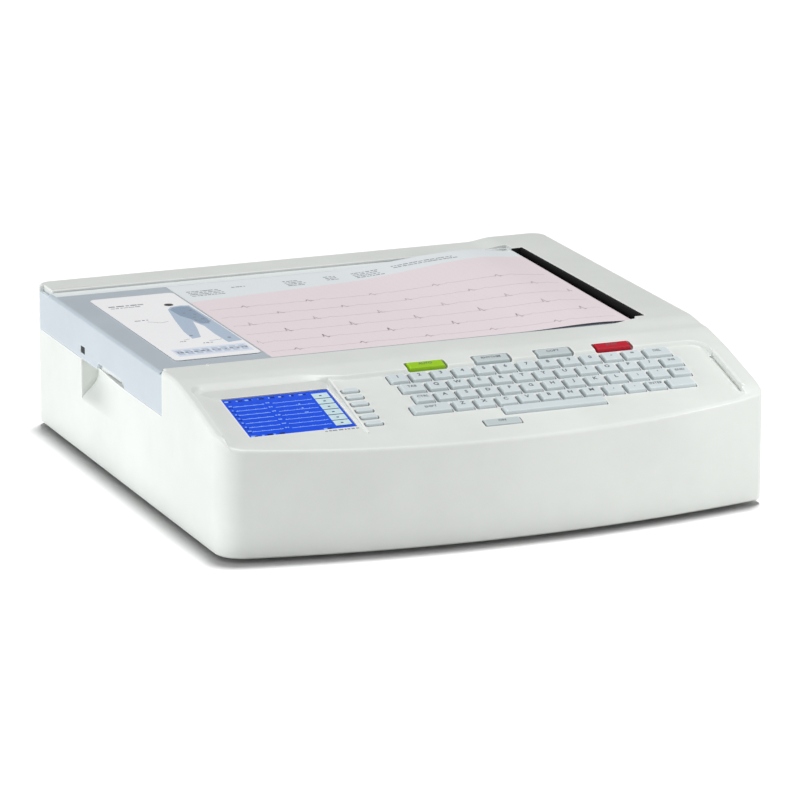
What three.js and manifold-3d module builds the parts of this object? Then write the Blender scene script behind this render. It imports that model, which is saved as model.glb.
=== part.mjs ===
// Desktop electrocardiograph: sloped keyboard deck, sunk screen, sliding writer cover over a paper bay.
// Millimetres. X runs to the machine's right, Y to its rear, Z up. The feet stand on Z = 0.
import * as THREE from 'three';
import { mergeVertices } from 'three/addons/utils/BufferGeometryUtils.js';
import Module from 'manifold-3d';

const wasm = await Module();
wasm.setup();

// ---------------------------------------------------------------- driving dimensions
const HALF_WIDTH = 198;
const REAR_Y = 206.15;
const BODY_BOTTOM_Z = 3;
const TOP_Z = 104.9;
const BLOCK_TOP_Z = 107.2;
const WALL = 3;
const GAP = 0.3;
const EDGE_CHAMFER = 3;

const FRONT_ARC = { centreY: 645.3, radius: 851.5 };
const FRONT_LEFT = { x: 177, y: -166.12, radius: 21 };
const FRONT_RIGHT = { x: 192, y: -178.11, radius: 6 };
const REAR_CORNER = { x: 187, y: 195.15, radius: 11 };

const DECK = { y: -182.88, z: 78.88, slope: Math.atan(0.26667), rimHeight: 2.6, plate: 2.6 };
const POCKET = { left: -193, right: 184.5, rear: 88.9, corner: 8 };

const BAY = { right: 157.4, front: -60.3, rear: 176.3 };
const SLOT = { right: 166, front: -55.05, rear: 166.3 };
const SKIRT = { bottom: 73, gripBottom: 78, gripFront: 11.3, gripRear: 66.8, front: -65, rear: 195 };
const COVER = { right: 157.1, front: -60, rear: 176, top: 102.9, plate: 2.5, skin: 2.7 };
const PLATEN = { x: 150, z: 91, radius: 6, shaft: 2.5, front: -53, rear: 164 };
const LATCH = { x: -192.6, z: 84, front: 28, rear: 55.5, pin: 1.2 };
const SCOOP = { x: -208.05, z: 57.7, radius: 22.65, rear: 104, front: 12 };

const LCD = { left: -172.5, right: -96.1, front: 14.3, rear: 71.9 };
const WELL = { left: -189.5, right: -93.5, front: 3, rear: 76, depth: 3.2 };
const KEY = { pitch: 15.86, rowPitch: 14.41, left: -54.14, firstRow: 67.47, gapX: 2.6, depth: 11.8 };
const KEY_TOP = 2.2;
const FLANGE = { top: -7.4, bottom: -9 };
const MODULE = 0.8;

// ---------------------------------------------------------------- solids
const COLOURS = {
  shell: [0xe9ece9, 0.55],
  cover: [0xc9d6de, 0.35],
  key: [0xd8e0e6, 0.5],
  green: [0x96c814, 0.45],
  red: [0xbe1e3c, 0.45],
  grey: [0xcdd2d4, 0.5],
  dark: [0x1c1e20, 0.6],
  steel: [0xa9adb1, 0.35],
  board: [0x1f5b3a, 0.6],
  paper: [0xf1e2e6, 0.9],
  white: [0xf4f5f6, 0.8],
  screen: [0x1e3cd2, 0.15],
  brass: [0xc2a14d, 0.4],
};

const X = new THREE.Vector3(1, 0, 0);
const Y = new THREE.Vector3(0, 1, 0);
const Z = new THREE.Vector3(0, 0, 1);
const ALONG_X = new THREE.Matrix4().makeBasis(Y, Z, X);
const ALONG_Y = new THREE.Matrix4().makeBasis(X, Z, Y.clone().negate());
const TO_DECK = new THREE.Matrix4().makeRotationX(DECK.slope).setPosition(0, DECK.y, DECK.z);

function solid(geometry, placement) {
  geometry.deleteAttribute('normal');
  geometry.deleteAttribute('uv');
  if (placement) geometry.applyMatrix4(placement);
  const merged = mergeVertices(geometry, 1e-4);
  return new wasm.Manifold(new wasm.Mesh({
    numProp: 3,
    vertProperties: new Float32Array(merged.attributes.position.array),
    triVerts: new Uint32Array(merged.index.array),
  }));
}

const join = (first, ...rest) => rest.reduce((sum, next) => sum.add(next), first);
const cut = (body, ...tools) => tools.reduce((left, tool) => left.subtract(tool), body);

function box(x0, x1, y0, y1, z0, z1, placement) {
  const geometry = new THREE.BoxGeometry(x1 - x0, y1 - y0, z1 - z0);
  geometry.translate((x0 + x1) / 2, (y0 + y1) / 2, (z0 + z1) / 2);
  return solid(geometry, placement);
}

const deckBox = (u0, u1, v0, v1, w0, w1) => box(u0, u1, v0, v1, w0, w1, TO_DECK);

function polygon(points) {
  return new THREE.Shape(points.map(([a, b]) => new THREE.Vector2(a, b)));
}

function extrude(shape, depth, curveSegments = 6) {
  return new THREE.ExtrudeGeometry(shape, { depth, bevelEnabled: false, curveSegments });
}

// A prism along X from [y, z] points, along Y from [x, z] points, or along Z from a plan shape.
function prismX(points, x0, x1, placement) {
  const geometry = extrude(polygon(points), x1 - x0);
  geometry.applyMatrix4(ALONG_X);
  geometry.translate(x0, 0, 0);
  return solid(geometry, placement);
}

function prismY(points, y0, y1, placement) {
  const geometry = extrude(polygon(points), y1 - y0);
  geometry.applyMatrix4(ALONG_Y);
  geometry.translate(0, y1, 0);
  return solid(geometry, placement);
}

function prismZ(shape, z0, z1, placement, curveSegments = 6) {
  const geometry = extrude(shape, z1 - z0, curveSegments);
  geometry.translate(0, 0, z0);
  return solid(geometry, placement);
}

function cylinderY(x, z, radius, y0, y1, sides = 24) {
  const geometry = new THREE.CylinderGeometry(radius, radius, y1 - y0, sides);
  geometry.translate(x, (y0 + y1) / 2, z);
  return solid(geometry);
}

function cylinderZ(x, y, radius, z0, z1, sides = 24) {
  const geometry = new THREE.CylinderGeometry(radius, radius, z1 - z0, sides);
  geometry.rotateX(Math.PI / 2);
  geometry.translate(x, y, (z0 + z1) / 2);
  return solid(geometry);
}

function roundedRectangle(x0, x1, y0, y1, radius) {
  const shape = new THREE.Shape();
  shape.absarc(x1 - radius, y0 + radius, radius, -Math.PI / 2, 0, false);
  shape.absarc(x1 - radius, y1 - radius, radius, 0, Math.PI / 2, false);
  shape.absarc(x0 + radius, y1 - radius, radius, Math.PI / 2, Math.PI, false);
  shape.absarc(x0 + radius, y0 + radius, radius, Math.PI, 1.5 * Math.PI, false);
  return shape;
}

// ---------------------------------------------------------------- housing
// The angle, from the bowed front's centre, at which the front meets a front corner.
const lean = (corner) => Math.atan2(corner.y - FRONT_ARC.centreY, corner.x);

// The plan: straight sides, a bowed front and four rounded corners, drawn in by `inset`.
function bodyPlan(inset) {
  const leftLean = lean(FRONT_LEFT);
  const rightLean = lean(FRONT_RIGHT);
  const rearRadius = REAR_CORNER.radius - inset;
  const plan = new THREE.Shape();
  plan.absarc(0, FRONT_ARC.centreY, FRONT_ARC.radius - inset, -Math.PI - leftLean, rightLean, false);
  plan.absarc(FRONT_RIGHT.x, FRONT_RIGHT.y, FRONT_RIGHT.radius - inset, rightLean, 0, false);
  plan.absarc(REAR_CORNER.x, REAR_CORNER.y, rearRadius, 0, Math.PI / 2, false);
  plan.absarc(-REAR_CORNER.x, REAR_CORNER.y, rearRadius, Math.PI / 2, Math.PI, false);
  plan.absarc(-FRONT_LEFT.x, FRONT_LEFT.y, FRONT_LEFT.radius - inset, Math.PI, Math.PI - leftLean, false);
  return plan;
}

const deckHeight = (y) => DECK.z + Math.tan(DECK.slope) * (y - DECK.y);

function outerBody() {
  const side = prismX([
    [212, 3], [212, TOP_Z], [-73, TOP_Z], [-98.1, 103.7], [-113.1, 100.1],
    [-172, 84.6], [-180, deckHeight(-180)], [-215, deckHeight(-215)], [-215, 3],
  ], -200, 200);
  const block = prismY([[137, 100], [137, TOP_Z], [157, BLOCK_TOP_Z], [200, BLOCK_TOP_Z], [200, 100]], -80, 212)
    .intersect(prismX([[212, 90], [212, 110], [-56, 110], [-74, 104.4], [-74, 90]], 130, 200));
  const flatEdges = prismY([
    [-HALF_WIDTH, 0], [-HALF_WIDTH, TOP_Z - EDGE_CHAMFER], [-HALF_WIDTH + EDGE_CHAMFER, TOP_Z],
    [0, 110], [HALF_WIDTH - EDGE_CHAMFER, BLOCK_TOP_Z], [HALF_WIDTH, BLOCK_TOP_Z - EDGE_CHAMFER], [HALF_WIDTH, 0],
  ], -220, 220);
  const deckEdges = prismY([
    [-HALF_WIDTH, -250], [-HALF_WIDTH, DECK.rimHeight - EDGE_CHAMFER],
    [-HALF_WIDTH + EDGE_CHAMFER, DECK.rimHeight], [-100, 8], [100, 8],
    [HALF_WIDTH - EDGE_CHAMFER, DECK.rimHeight], [HALF_WIDTH, DECK.rimHeight - EDGE_CHAMFER], [HALF_WIDTH, -250],
  ], -60, 420, TO_DECK);
  return join(side, block)
    .intersect(prismZ(bodyPlan(0), BODY_BOTTOM_Z, 115))
    .intersect(flatEdges)
    .intersect(deckEdges);
}

function innerSpace() {
  const plate = DECK.plate / Math.cos(DECK.slope);
  const shoulder = DECK.y + (TOP_Z - WALL + plate - DECK.z) / Math.tan(DECK.slope);
  const side = prismX([
    [212, -1], [212, TOP_Z - WALL], [shoulder, TOP_Z - WALL], [-215, deckHeight(-215) - plate], [-215, -1],
  ], -200, 200);
  return side.intersect(prismZ(bodyPlan(WALL), -1, 115));
}

// The hand hold is a round trough along Y that runs out towards the front on an easy curve.
function fingerScoop() {
  const profile = [[0, SCOOP.front], [9.8, SCOOP.front]];
  for (const share of [0.25, 0.5, 0.75, 1]) {
    const reach = 10 + (SCOOP.radius - 10) * Math.sin((share * Math.PI) / 2);
    profile.push([reach, SCOOP.front + share * (SCOOP.rear - SCOOP.front)]);
  }
  profile.push([0, SCOOP.rear]);
  const geometry = new THREE.LatheGeometry(profile.map(([r, y]) => new THREE.Vector2(r, y)), 40);
  geometry.translate(SCOOP.x, 0, SCOOP.z);
  return solid(geometry);
}

function topHousing() {
  const shell = cut(outerBody(), innerSpace());
  const additions = [
    box(-196, -182, 6, 107, 30, SKIRT.bottom - GAP),
    box(-186, -184.4, 30, 54, 70, 79.8),
    box(-194.5, -192.5, 6, LATCH.front - 0.4, 72, 79.6),
    box(-194.5, -192.5, LATCH.rear + 0.4, 107, 72, 79.6),
    deckBox(-193, -89, -1, 80, -7, -1),
    prismX([[BAY.rear + GAP, 98], [186, 98], [186, 70], [204, 70], [204, 103], [BAY.rear + GAP, 103]], -194.7, -192),
    ...BOSSES.map(([x, y]) => cylinderZ(x, y, 9.5, 6.1, 30)),
  ];
  const inside = prismZ(bodyPlan(1), BODY_BOTTOM_Z, 115);
  const whole = join(shell, ...additions.map((part) => part.intersect(inside)));
  return cut(
    whole,
    prismZ(pocketPlan(), 0, 30, TO_DECK),
    prismX([[WELL.front, 1], [WELL.front, 0], [WELL.front + 10, -WELL.depth], [WELL.rear, -WELL.depth],
      [WELL.rear, 1]], WELL.left, WELL.right, TO_DECK),
    deckBox(LCD.left - GAP, LCD.right + GAP, LCD.front - GAP, LCD.rear + GAP, -10, 0),
    box(-200, BAY.right, BAY.front, BAY.rear, 100, 120),
    box(BAY.right - 1, SLOT.right, SLOT.front, SLOT.rear, 100, 120),
    box(-200, -HALF_WIDTH + WALL + GAP, SKIRT.front - GAP, SKIRT.rear + GAP, SKIRT.bottom - GAP, 120),
    fingerScoop(),
    ...BOSSES.map(([x, y]) => cylinderZ(x, y, 2.1, 0, 26)),
    ...REAR_SOCKETS.map((s) => box(s.x0 - GAP, s.x1 + GAP, 195, 210, s.z0 - GAP, s.z1 + GAP)),
    ...allKeyHoles(),
  );
}

function pocketPlan() {
  const { left, right, rear, corner } = POCKET;
  const plan = new THREE.Shape();
  plan.moveTo(left, -60);
  plan.lineTo(right, -60);
  plan.absarc(right - corner, rear - corner, corner, 0, Math.PI / 2, false);
  plan.absarc(left + corner, rear - corner, corner, Math.PI / 2, Math.PI, false);
  return plan;
}

const BOSSES = [[187, 193.5], [-187, 193.5], [186, -160], [-186, -160]];

// Rear sockets: outer box, then the opening's width and height and the outer box's depth.
const REAR_SOCKETS = [
  { name: 'mains_inlet', x0: 118, x1: 148, z0: 18, z1: 42, open: [24.5, 16.5], depth: 24, colour: 'dark' },
  { name: 'network_port', x0: 60, x1: 77, z0: 18, z1: 32, open: [12.2, 8.4], depth: 16, colour: 'steel' },
  { name: 'usb_port', x0: 32, x1: 47.6, z0: 20, z1: 28.4, open: [12.4, 5.4], depth: 14, colour: 'steel' },
  { name: 'ecg_input_connector', x0: -70, x1: -28, z0: 18, z1: 32, open: [26, 8.6], depth: 14, colour: 'steel' },
];

function rearSocket({ x0, x1, z0, z1, open, depth }) {
  const [width, height] = open;
  const x = (x0 + x1) / 2;
  const z = (z0 + z1) / 2;
  const face = REAR_Y - GAP;
  return cut(
    box(x0, x1, face - depth, face, z0, z1),
    box(x - width / 2, x + width / 2, face - depth + 3, face + 1, z - height / 2, z + height / 2),
  );
}

function basePlate() {
  const plate = prismZ(bodyPlan(WALL + GAP + 0.1), 3.3, 5.8);
  const grille = [0, 1, 2, 3, 4].map((i) => box(106, 134, -134 + 6 * i, -131 + 6 * i, 0, 10));
  return cut(plate, ...BOSSES.map(([x, y]) => cylinderZ(x, y, 3.6, 0, 10)), ...grille);
}

const foot = (x, y) => cylinderZ(x, y, 10, 0, 3);

function baseScrew([x, y]) {
  return join(cylinderZ(x, y, 3.2, 3.4, 5.4, 16), cylinderZ(x, y, 1.8, 5, 22, 16));
}

// ---------------------------------------------------------------- keys
// Every key: centre u, v on the deck, its width and depth there, and how far its top stands above the deck.
function row(name, index, spans) {
  const v = KEY.firstRow - KEY.rowPitch * index;
  const keys = spans.map(([from, to]) => ({
    u: KEY.left + (KEY.pitch * (from + to)) / 2,
    v,
    width: KEY.pitch * (to - from) - KEY.gapX,
    depth: KEY.depth,
    top: KEY_TOP,
  }));
  return { name, keys, colour: 'key' };
}

function unitSpans(first, count, start, end) {
  const spans = [];
  for (let i = 0; i < count; i += 1) spans.push([first + i, first + i + 1]);
  if (start !== null) spans.unshift([start, first]);
  spans.push([first + count, end]);
  return spans;
}

const KEY_ROWS = [
  row('key_row_numbers', 0, unitSpans(0, 12, null, 13.35)),
  row('key_row_upper', 1, unitSpans(1.43, 11, 0.2, 13.53)),
  row('key_row_middle', 2, unitSpans(1.47, 11, 0.45, 13.5)),
  row('key_row_lower', 3, unitSpans(1.93, 10, 0, 13.3)),
];

const singleKey = (name, u, v, width, depth, top, colour) => ({ name, keys: [{ u, v, width, depth, top }], colour });

const SOFT_KEYS = [0, 1, 2, 3, 4, 5].map(
  (i) => singleKey(`soft_key_${i + 1}`, -84.4, 59 - 9.1 * i, 12.6, 5.6, 1.6, 'key'),
);

const SINGLE_KEYS = [
  singleKey('key_green_auto', -21, 80.4, 27.4, 10, 3, 'green'),
  singleKey('key_grey_rhythm', 27.6, 80.4, 26, 10, 2.6, 'grey'),
  singleKey('key_grey_copy', 73.8, 80.4, 26, 10, 2.6, 'grey'),
  singleKey('key_red_stop', 118.2, 80.4, 26.4, 10, 3, 'red'),
  singleKey('space_bar', 47, 12.1, 74.6, 9.4, KEY_TOP, 'key'),
  singleKey('power_key', 3.5, -0.9, 26, 8.4, 0.8, 'grey'),
  ...SOFT_KEYS,
];

const ALL_KEYS = [...KEY_ROWS, ...SINGLE_KEYS];

// A cap narrows towards its top above the deck and drops straight through the plate below it.
function keyCap({ u, v, width, depth, top }) {
  const cap = new THREE.BoxGeometry(width, depth, 2, 1, 1, 2);
  const points = cap.attributes.position;
  const draft = 0.55 * top;
  for (let i = 0; i < points.count; i += 1) {
    const level = points.getZ(i);
    if (level < -0.5) points.setZ(i, FLANGE.bottom + 0.5);
    if (level < 0.5) continue;
    points.setXYZ(
      i,
      Math.sign(points.getX(i)) * (width / 2 - draft),
      Math.sign(points.getY(i)) * (depth / 2 - draft),
      top,
    );
  }
  cap.translate(u, v, 0);
  return solid(cap, TO_DECK);
}

// The keys of one body hang on a flange under the deck, which also holds them in their holes.
function keyBody({ keys }) {
  const left = Math.min(...keys.map((k) => k.u - k.width / 2)) - 0.8;
  const right = Math.max(...keys.map((k) => k.u + k.width / 2)) + 0.8;
  const { v, depth } = keys[0];
  const flange = deckBox(left, right, v - depth / 2 - 0.7, v + depth / 2 + 0.7, FLANGE.bottom, FLANGE.top);
  return join(flange, ...keys.map(keyCap));
}

function allKeyHoles() {
  return ALL_KEYS.flatMap(({ keys }) => keys.map(({ u, v, width, depth }) => deckBox(
    u - width / 2 - GAP, u + width / 2 + GAP, v - depth / 2 - GAP, v + depth / 2 + GAP, -9, 4,
  )));
}

// ---------------------------------------------------------------- writer cover and what it carries
// The cover's edge hooks outwards into a rail, so it can slide but not lift.
function coverEdge(edge, outward) {
  const at = (d) => edge + outward * d;
  const profile = [[at(0), 101], [at(0), 94.5], [at(4.8), 94.5], [at(4.8), 92], [at(-2), 92], [at(-2), 101]];
  return prismX(profile, -190, COVER.right - 12);
}

function rail(edge, outward) {
  const at = (d) => edge + outward * d;
  return prismX([
    [at(0.6), 97.4], [at(8), 97.4], [at(8), 88.8], [at(0.6), 88.8], [at(0.6), 91.7],
    [at(5.2), 91.7], [at(5.2), 94.8], [at(0.6), 94.8],
  ], -189, 144);
}

function platenCheek(y0, y1) {
  const plate = box(PLATEN.x - 6, PLATEN.x + 5, y0, y1, PLATEN.z - 6, 101);
  return cut(plate, cylinderY(PLATEN.x, PLATEN.z, PLATEN.shaft + 0.1, y0 - 1, y1 + 1));
}

function writerCover() {
  const bottom = COVER.top - COVER.plate;
  const top = box(-196, COVER.right, COVER.front, COVER.rear, bottom, COVER.top);
  const skirtSide = prismX([
    [SKIRT.front, SKIRT.bottom], [SKIRT.gripFront, SKIRT.bottom], [SKIRT.gripFront + 5, SKIRT.gripBottom],
    [SKIRT.gripRear, SKIRT.gripBottom], [SKIRT.gripRear + 5, SKIRT.bottom], [SKIRT.rear, SKIRT.bottom],
    [SKIRT.rear, 100.4], [BAY.rear - GAP, 100.4], [BAY.rear - GAP, COVER.top], [COVER.front, COVER.top],
    [COVER.front, 101], [SKIRT.front, 101],
  ], -HALF_WIDTH, -HALF_WIDTH + COVER.skin);
  const crease = prismY([[-210, 50], [-HALF_WIDTH, 50], [-HALF_WIDTH, 100.9], [-196, COVER.top], [200, COVER.top],
    [200, 120], [-210, 120]], -100, 220);
  const ear = (y) => {
    const plate = box(-196, -189.5, y, y + 2.4, 80.5, 101);
    return cut(plate, cylinderY(LATCH.x, LATCH.z, LATCH.pin + 0.08, y - 1, y + 4, 16));
  };
  return join(
    cut(join(top, skirtSide), crease),
    coverEdge(COVER.front, -1),
    coverEdge(COVER.rear, 1),
    platenCheek(PLATEN.front - 3.3, PLATEN.front - 0.5),
    platenCheek(PLATEN.rear + 0.5, PLATEN.rear + 3.3),
    ear(LATCH.front - 3),
    ear(LATCH.rear + 4),
  );
}

function labelCard() {
  return prismZ(roundedRectangle(-178, -115, -38.5, 144.5, 4), COVER.top + GAP, COVER.top + 0.7, null, 3);
}

// One chart page: flat on the cover, then turned down into the slot.
function paperSheet() {
  const under = COVER.top + GAP;
  return prismY([
    [-113, under], [156.6, under], [157.6, under - 0.4], [158.6, 100.6], [159.1, 100.6],
    [158.1, under], [157, under + 0.4], [-113, under + 0.4],
  ], -52.5, 163.5);
}

function platenRoller() {
  const { x, z, radius, shaft, front, rear } = PLATEN;
  return cut(cylinderY(x, z, radius, front, rear, 28), cylinderY(x, z, shaft + 0.06, front - 1, rear + 1));
}

// A spur gear about an axis along Y. `turn` is the angle of the first tooth, in tooth pitches.
function gear(x, z, teeth, turn, bore, y0, y1) {
  const pitchRadius = (teeth * MODULE) / 2;
  const root = pitchRadius - 1.2 * MODULE;
  const tip = pitchRadius + 0.9 * MODULE;
  const step = (2 * Math.PI) / teeth;
  const points = [];
  for (let i = 0; i < teeth; i += 1) {
    for (const [radius, offset] of [[root, -0.31], [pitchRadius, -0.225], [tip, -0.1],
      [tip, 0.1], [pitchRadius, 0.225], [root, 0.31]]) {
      const angle = (i + turn + offset) * step;
      points.push([x + radius * Math.cos(angle), z + radius * Math.sin(angle)]);
    }
  }
  const blank = prismY(points, y0, y1);
  return bore > 0 ? cut(blank, cylinderY(x, z, bore, y0 - 1, y1 + 1)) : blank;
}

const TEETH = { platen: 18, idler: 22, pinion: 12 };
const IDLER = { x: PLATEN.x + (MODULE * (TEETH.platen + TEETH.idler)) / 2, z: PLATEN.z };
const PINION = { x: IDLER.x, z: IDLER.z - (MODULE * (TEETH.idler + TEETH.pinion)) / 2 };
const GEAR_Y = [170.8, 173.6];

function motorPinion() {
  const blank = gear(PINION.x, PINION.z, TEETH.pinion, 0.5, 0, ...GEAR_Y);
  return join(blank, cylinderY(PINION.x, PINION.z, 1.5, GEAR_Y[1] - 0.5, 176.3, 16));
}

function idlerPost() {
  const pin = cylinderY(IDLER.x, IDLER.z, 2, 170, 174, 20);
  return join(pin, cylinderY(IDLER.x, IDLER.z, 3.6, 169.3, 170.4, 20));
}

// ---------------------------------------------------------------- latch
function latchLever() {
  const { front, rear } = LATCH;
  const knuckle = cylinderY(LATCH.x, LATCH.z, 2.4, front, rear, 20);
  const paddle = box(-194.6, -192.6, front, rear, SKIRT.bottom + GAP, LATCH.z);
  const arm = box(LATCH.x, -181.4, front + 4, rear - 4, 82.2, 84.2);
  const hook = box(-183.4, -181.4, front + 4, rear - 4, 80.2, 83);
  const body = join(knuckle, paddle, arm, hook);
  return cut(body, cylinderY(LATCH.x, LATCH.z, LATCH.pin + 0.08, front - 1, rear + 1, 16));
}

// A torsion spring: three turns round the latch pin.
function latchSpring() {
  class Coil extends THREE.Curve {
    getPoint(t, target = new THREE.Vector3()) {
      const angle = t * 3 * 2 * Math.PI;
      return target.set(LATCH.x + 2 * Math.cos(angle), 56.4 + 2.2 * t, LATCH.z + 2 * Math.sin(angle));
    }
  }
  const wire = new THREE.Shape().absarc(0, 0, 0.28, 0, 2 * Math.PI, false);
  const geometry = new THREE.ExtrudeGeometry(wire, { steps: 36, curveSegments: 3, extrudePath: new Coil() });
  return solid(geometry);
}

// ---------------------------------------------------------------- paper bay, print mechanism
function paperTray() {
  const tray = cut(
    box(-178, 116, -59.2, 170.2, 52, 86),
    box(-175.6, 113.6, -57, 168, 54.4, 90),
    box(110, 120, -57, 168, 82, 90),
  );
  const legs = [[-170, -50], [-170, 150], [100, -50], [100, 150]].map(([x, y]) => box(x, x + 9, y, y + 9, 6.1, 53));
  return join(tray, ...legs);
}

function printheadHeatsink() {
  const bar = box(160.3, 170.7, -54, 163, 78, 98);
  const grooves = [82, 87, 92].map((z) => box(163.5, 172, -55, 164, z, z + 2.4));
  return cut(bar, ...grooves);
}

function writerFrame() {
  const rearPlate = box(158.5, 184, 174.3, 176.3, 6.1, 97);
  const spine = box(171, 173, -58, 168.5, 50, 97);
  const gearSideTab = box(171, 173, 165, 175, 50, 66);
  const frontPlate = box(158.5, 173, -59, -57, 6.1, 97);
  return cut(
    join(rearPlate, spine, gearSideTab, frontPlate),
    cylinderY(PINION.x, PINION.z, 3, 170, 180),
  );
}

// ---------------------------------------------------------------- electronics
function mainBoard() {
  // Each chip: left, front, width, depth and height above the board.
  const chips = [
    [-30, 10, 26, 26, 3], [20, 60, 34, 20, 4], [-20, 100, 18, 18, 3], [60, 0, 12, 40, 9], [60, 90, 20, 20, 8],
  ];
  const legs = [[-44, -34], [88, -34], [-44, 134], [88, 134]];
  return join(
    box(-50, 96, -40, 142, 14, 15.6),
    ...chips.map(([x, y, width, depth, height]) => box(x, x + width, y, y + depth, 15, 15.6 + height)),
    ...legs.map(([x, y]) => box(x, x + 6, y, y + 6, 6.1, 15)),
  );
}

function powerSupply() {
  const can = box(122, 190, 50, 172, 6.4, 46);
  return cut(can, ...[0, 1, 2, 3, 4].map((i) => box(135, 177, 64 + 20 * i, 70 + 20 * i, 44.6, 50)));
}

const batteryPack = () => box(-160, -62, -140, -75, 6.4, 60);

function batteryBracket() {
  return cut(box(-122, -100, -146, -69, 6.1, 63), box(-123, -99, -140.4, -74.6, 0, 60.4));
}

function keypadMat() {
  const sheet = deckBox(-92, 164, -6.5, 90, -14, -13);
  const pads = ALL_KEYS.map(({ keys }) => {
    const left = Math.min(...keys.map((k) => k.u)) - 2.5;
    const right = Math.max(...keys.map((k) => k.u)) + 2.5;
    return deckBox(left, right, keys[0].v - 2, keys[0].v + 2, -13.5, -11);
  });
  return join(sheet, ...pads);
}

// ---------------------------------------------------------------- assembly
function mesh(name, manifold, colour) {
  const result = manifold.getMesh();
  const geometry = new THREE.BufferGeometry();
  geometry.setAttribute('position', new THREE.BufferAttribute(new Float32Array(result.vertProperties), 3));
  geometry.setIndex(new THREE.BufferAttribute(new Uint32Array(result.triVerts), 1));
  geometry.computeVertexNormals();
  const [hex, roughness] = COLOURS[colour];
  const node = new THREE.Mesh(geometry, new THREE.MeshStandardMaterial({ color: hex, roughness }));
  node.name = name;
  return node;
}

const PARTS = [
  ['top_housing', topHousing(), 'shell'],
  ['base_plate', basePlate(), 'shell'],
  ['foot_front_left', foot(-160, -150), 'dark'],
  ['foot_front_right', foot(160, -150), 'dark'],
  ['foot_rear_left', foot(-165, 175), 'dark'],
  ['foot_rear_right', foot(165, 175), 'dark'],
  ...BOSSES.map((place, i) => [`base_screw_${i + 1}`, baseScrew(place), 'steel']),
  ['lcd_window', deckBox(LCD.left, LCD.right, LCD.front, LCD.rear, -7, -5), 'screen'],
  ['lcd_module', deckBox(-180, -94, 8, 78, -15, -7.3), 'dark'],
  ['keypad_board', deckBox(-92, 164, -6.5, 90, -15.9, -14.3), 'board'],
  ['keypad_mat', keypadMat(), 'grey'],
  ['main_board', mainBoard(), 'board'],
  ['power_supply', powerSupply(), 'steel'],
  ['battery_pack', batteryPack(), 'dark'],
  ['battery_bracket', batteryBracket(), 'steel'],
  ['paper_tray', paperTray(), 'shell'],
  ['paper_stack', box(-174, 106, -52.5, 163.5, 54.8, 79.8), 'paper'],
  ['printhead', box(156.3, 160, -54, 163, 82, 100), 'dark'],
  ['printhead_heatsink', printheadHeatsink(), 'steel'],
  ['writer_frame', writerFrame(), 'steel'],
  ['tear_bar', box(164.4, 165.7, -54.7, 166, 98.4, 106.9), 'dark'],
  ['drive_motor', cylinderY(PINION.x, PINION.z, 13, 176.7, 200, 28), 'steel'],
  ['idler_post', idlerPost(), 'steel'],
  ['rail_front', rail(COVER.front, -1), 'steel'],
  ['rail_rear', rail(COVER.rear, 1), 'steel'],
  ['speaker', join(cylinderZ(120, -120.5, 20, 6.1, 10), cylinderZ(120, -120.5, 11, 9, 20)), 'dark'],
  ...REAR_SOCKETS.map((socket) => [socket.name, rearSocket(socket), socket.colour]),
  ['writer_cover', writerCover(), 'cover'],
  ['label_card', labelCard(), 'white'],
  ['paper_sheet', paperSheet(), 'paper'],
  ['platen_shaft', cylinderY(PLATEN.x, PLATEN.z, PLATEN.shaft, -57, 174, 20), 'steel'],
  ['platen_roller', platenRoller(), 'dark'],
  ['platen_gear', gear(PLATEN.x, PLATEN.z, TEETH.platen, 0, PLATEN.shaft + 0.06, ...GEAR_Y), 'white'],
  ['idler_gear', gear(IDLER.x, IDLER.z, TEETH.idler, 0.5, 2.07, ...GEAR_Y), 'white'],
  ['motor_pinion', motorPinion(), 'brass'],
  ['latch_lever', latchLever(), 'shell'],
  ['latch_pin', cylinderY(LATCH.x, LATCH.z, LATCH.pin, LATCH.front - 3, LATCH.rear + 6.4, 16), 'steel'],
  ['latch_spring', latchSpring(), 'steel'],
  ...ALL_KEYS.map((body) => [body.name, keyBody(body), body.colour]),
];

const ecgMachine = new THREE.Group();
ecgMachine.name = 'ecg_machine';
for (const [name, manifold, colour] of PARTS) ecgMachine.add(mesh(name, manifold, colour));

export default ecgMachine;
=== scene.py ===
"""Looks for the desktop electrocardiograph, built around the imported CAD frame. Shapes are in millimetres."""
from collections import namedtuple
import math
import random
from types import SimpleNamespace as Sizes

import bpy
import numpy as np
from mathutils import Matrix, Vector
from mathutils.geometry import delaunay_2d_cdt


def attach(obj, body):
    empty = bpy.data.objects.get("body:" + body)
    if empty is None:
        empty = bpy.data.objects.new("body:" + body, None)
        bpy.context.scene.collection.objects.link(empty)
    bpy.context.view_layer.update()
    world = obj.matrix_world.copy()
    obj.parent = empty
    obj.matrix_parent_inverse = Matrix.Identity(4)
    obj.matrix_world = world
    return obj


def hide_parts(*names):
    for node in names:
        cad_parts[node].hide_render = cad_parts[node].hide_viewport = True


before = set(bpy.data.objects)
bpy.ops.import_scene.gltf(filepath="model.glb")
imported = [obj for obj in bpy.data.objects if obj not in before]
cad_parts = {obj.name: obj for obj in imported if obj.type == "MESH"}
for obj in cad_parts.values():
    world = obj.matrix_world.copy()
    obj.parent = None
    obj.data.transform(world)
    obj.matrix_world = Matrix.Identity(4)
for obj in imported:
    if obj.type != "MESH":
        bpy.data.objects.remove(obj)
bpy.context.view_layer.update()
MM = 0.001
QUARTER = math.pi / 2

# ---- driving dimensions
HALF_WIDTH = 198.0
REAR_Y = 206.15
BODY_BOTTOM = 3.0
TOP_Z = 104.9
BLOCK_RISE = 2.3
WALL = 3.0
TOP_PLATE = 2.7
GAP = 0.3
EDGE_RADIUS = 2.4
FOOT_RADIUS = 1.6
ABOVE_ALL = 115.0

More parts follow.
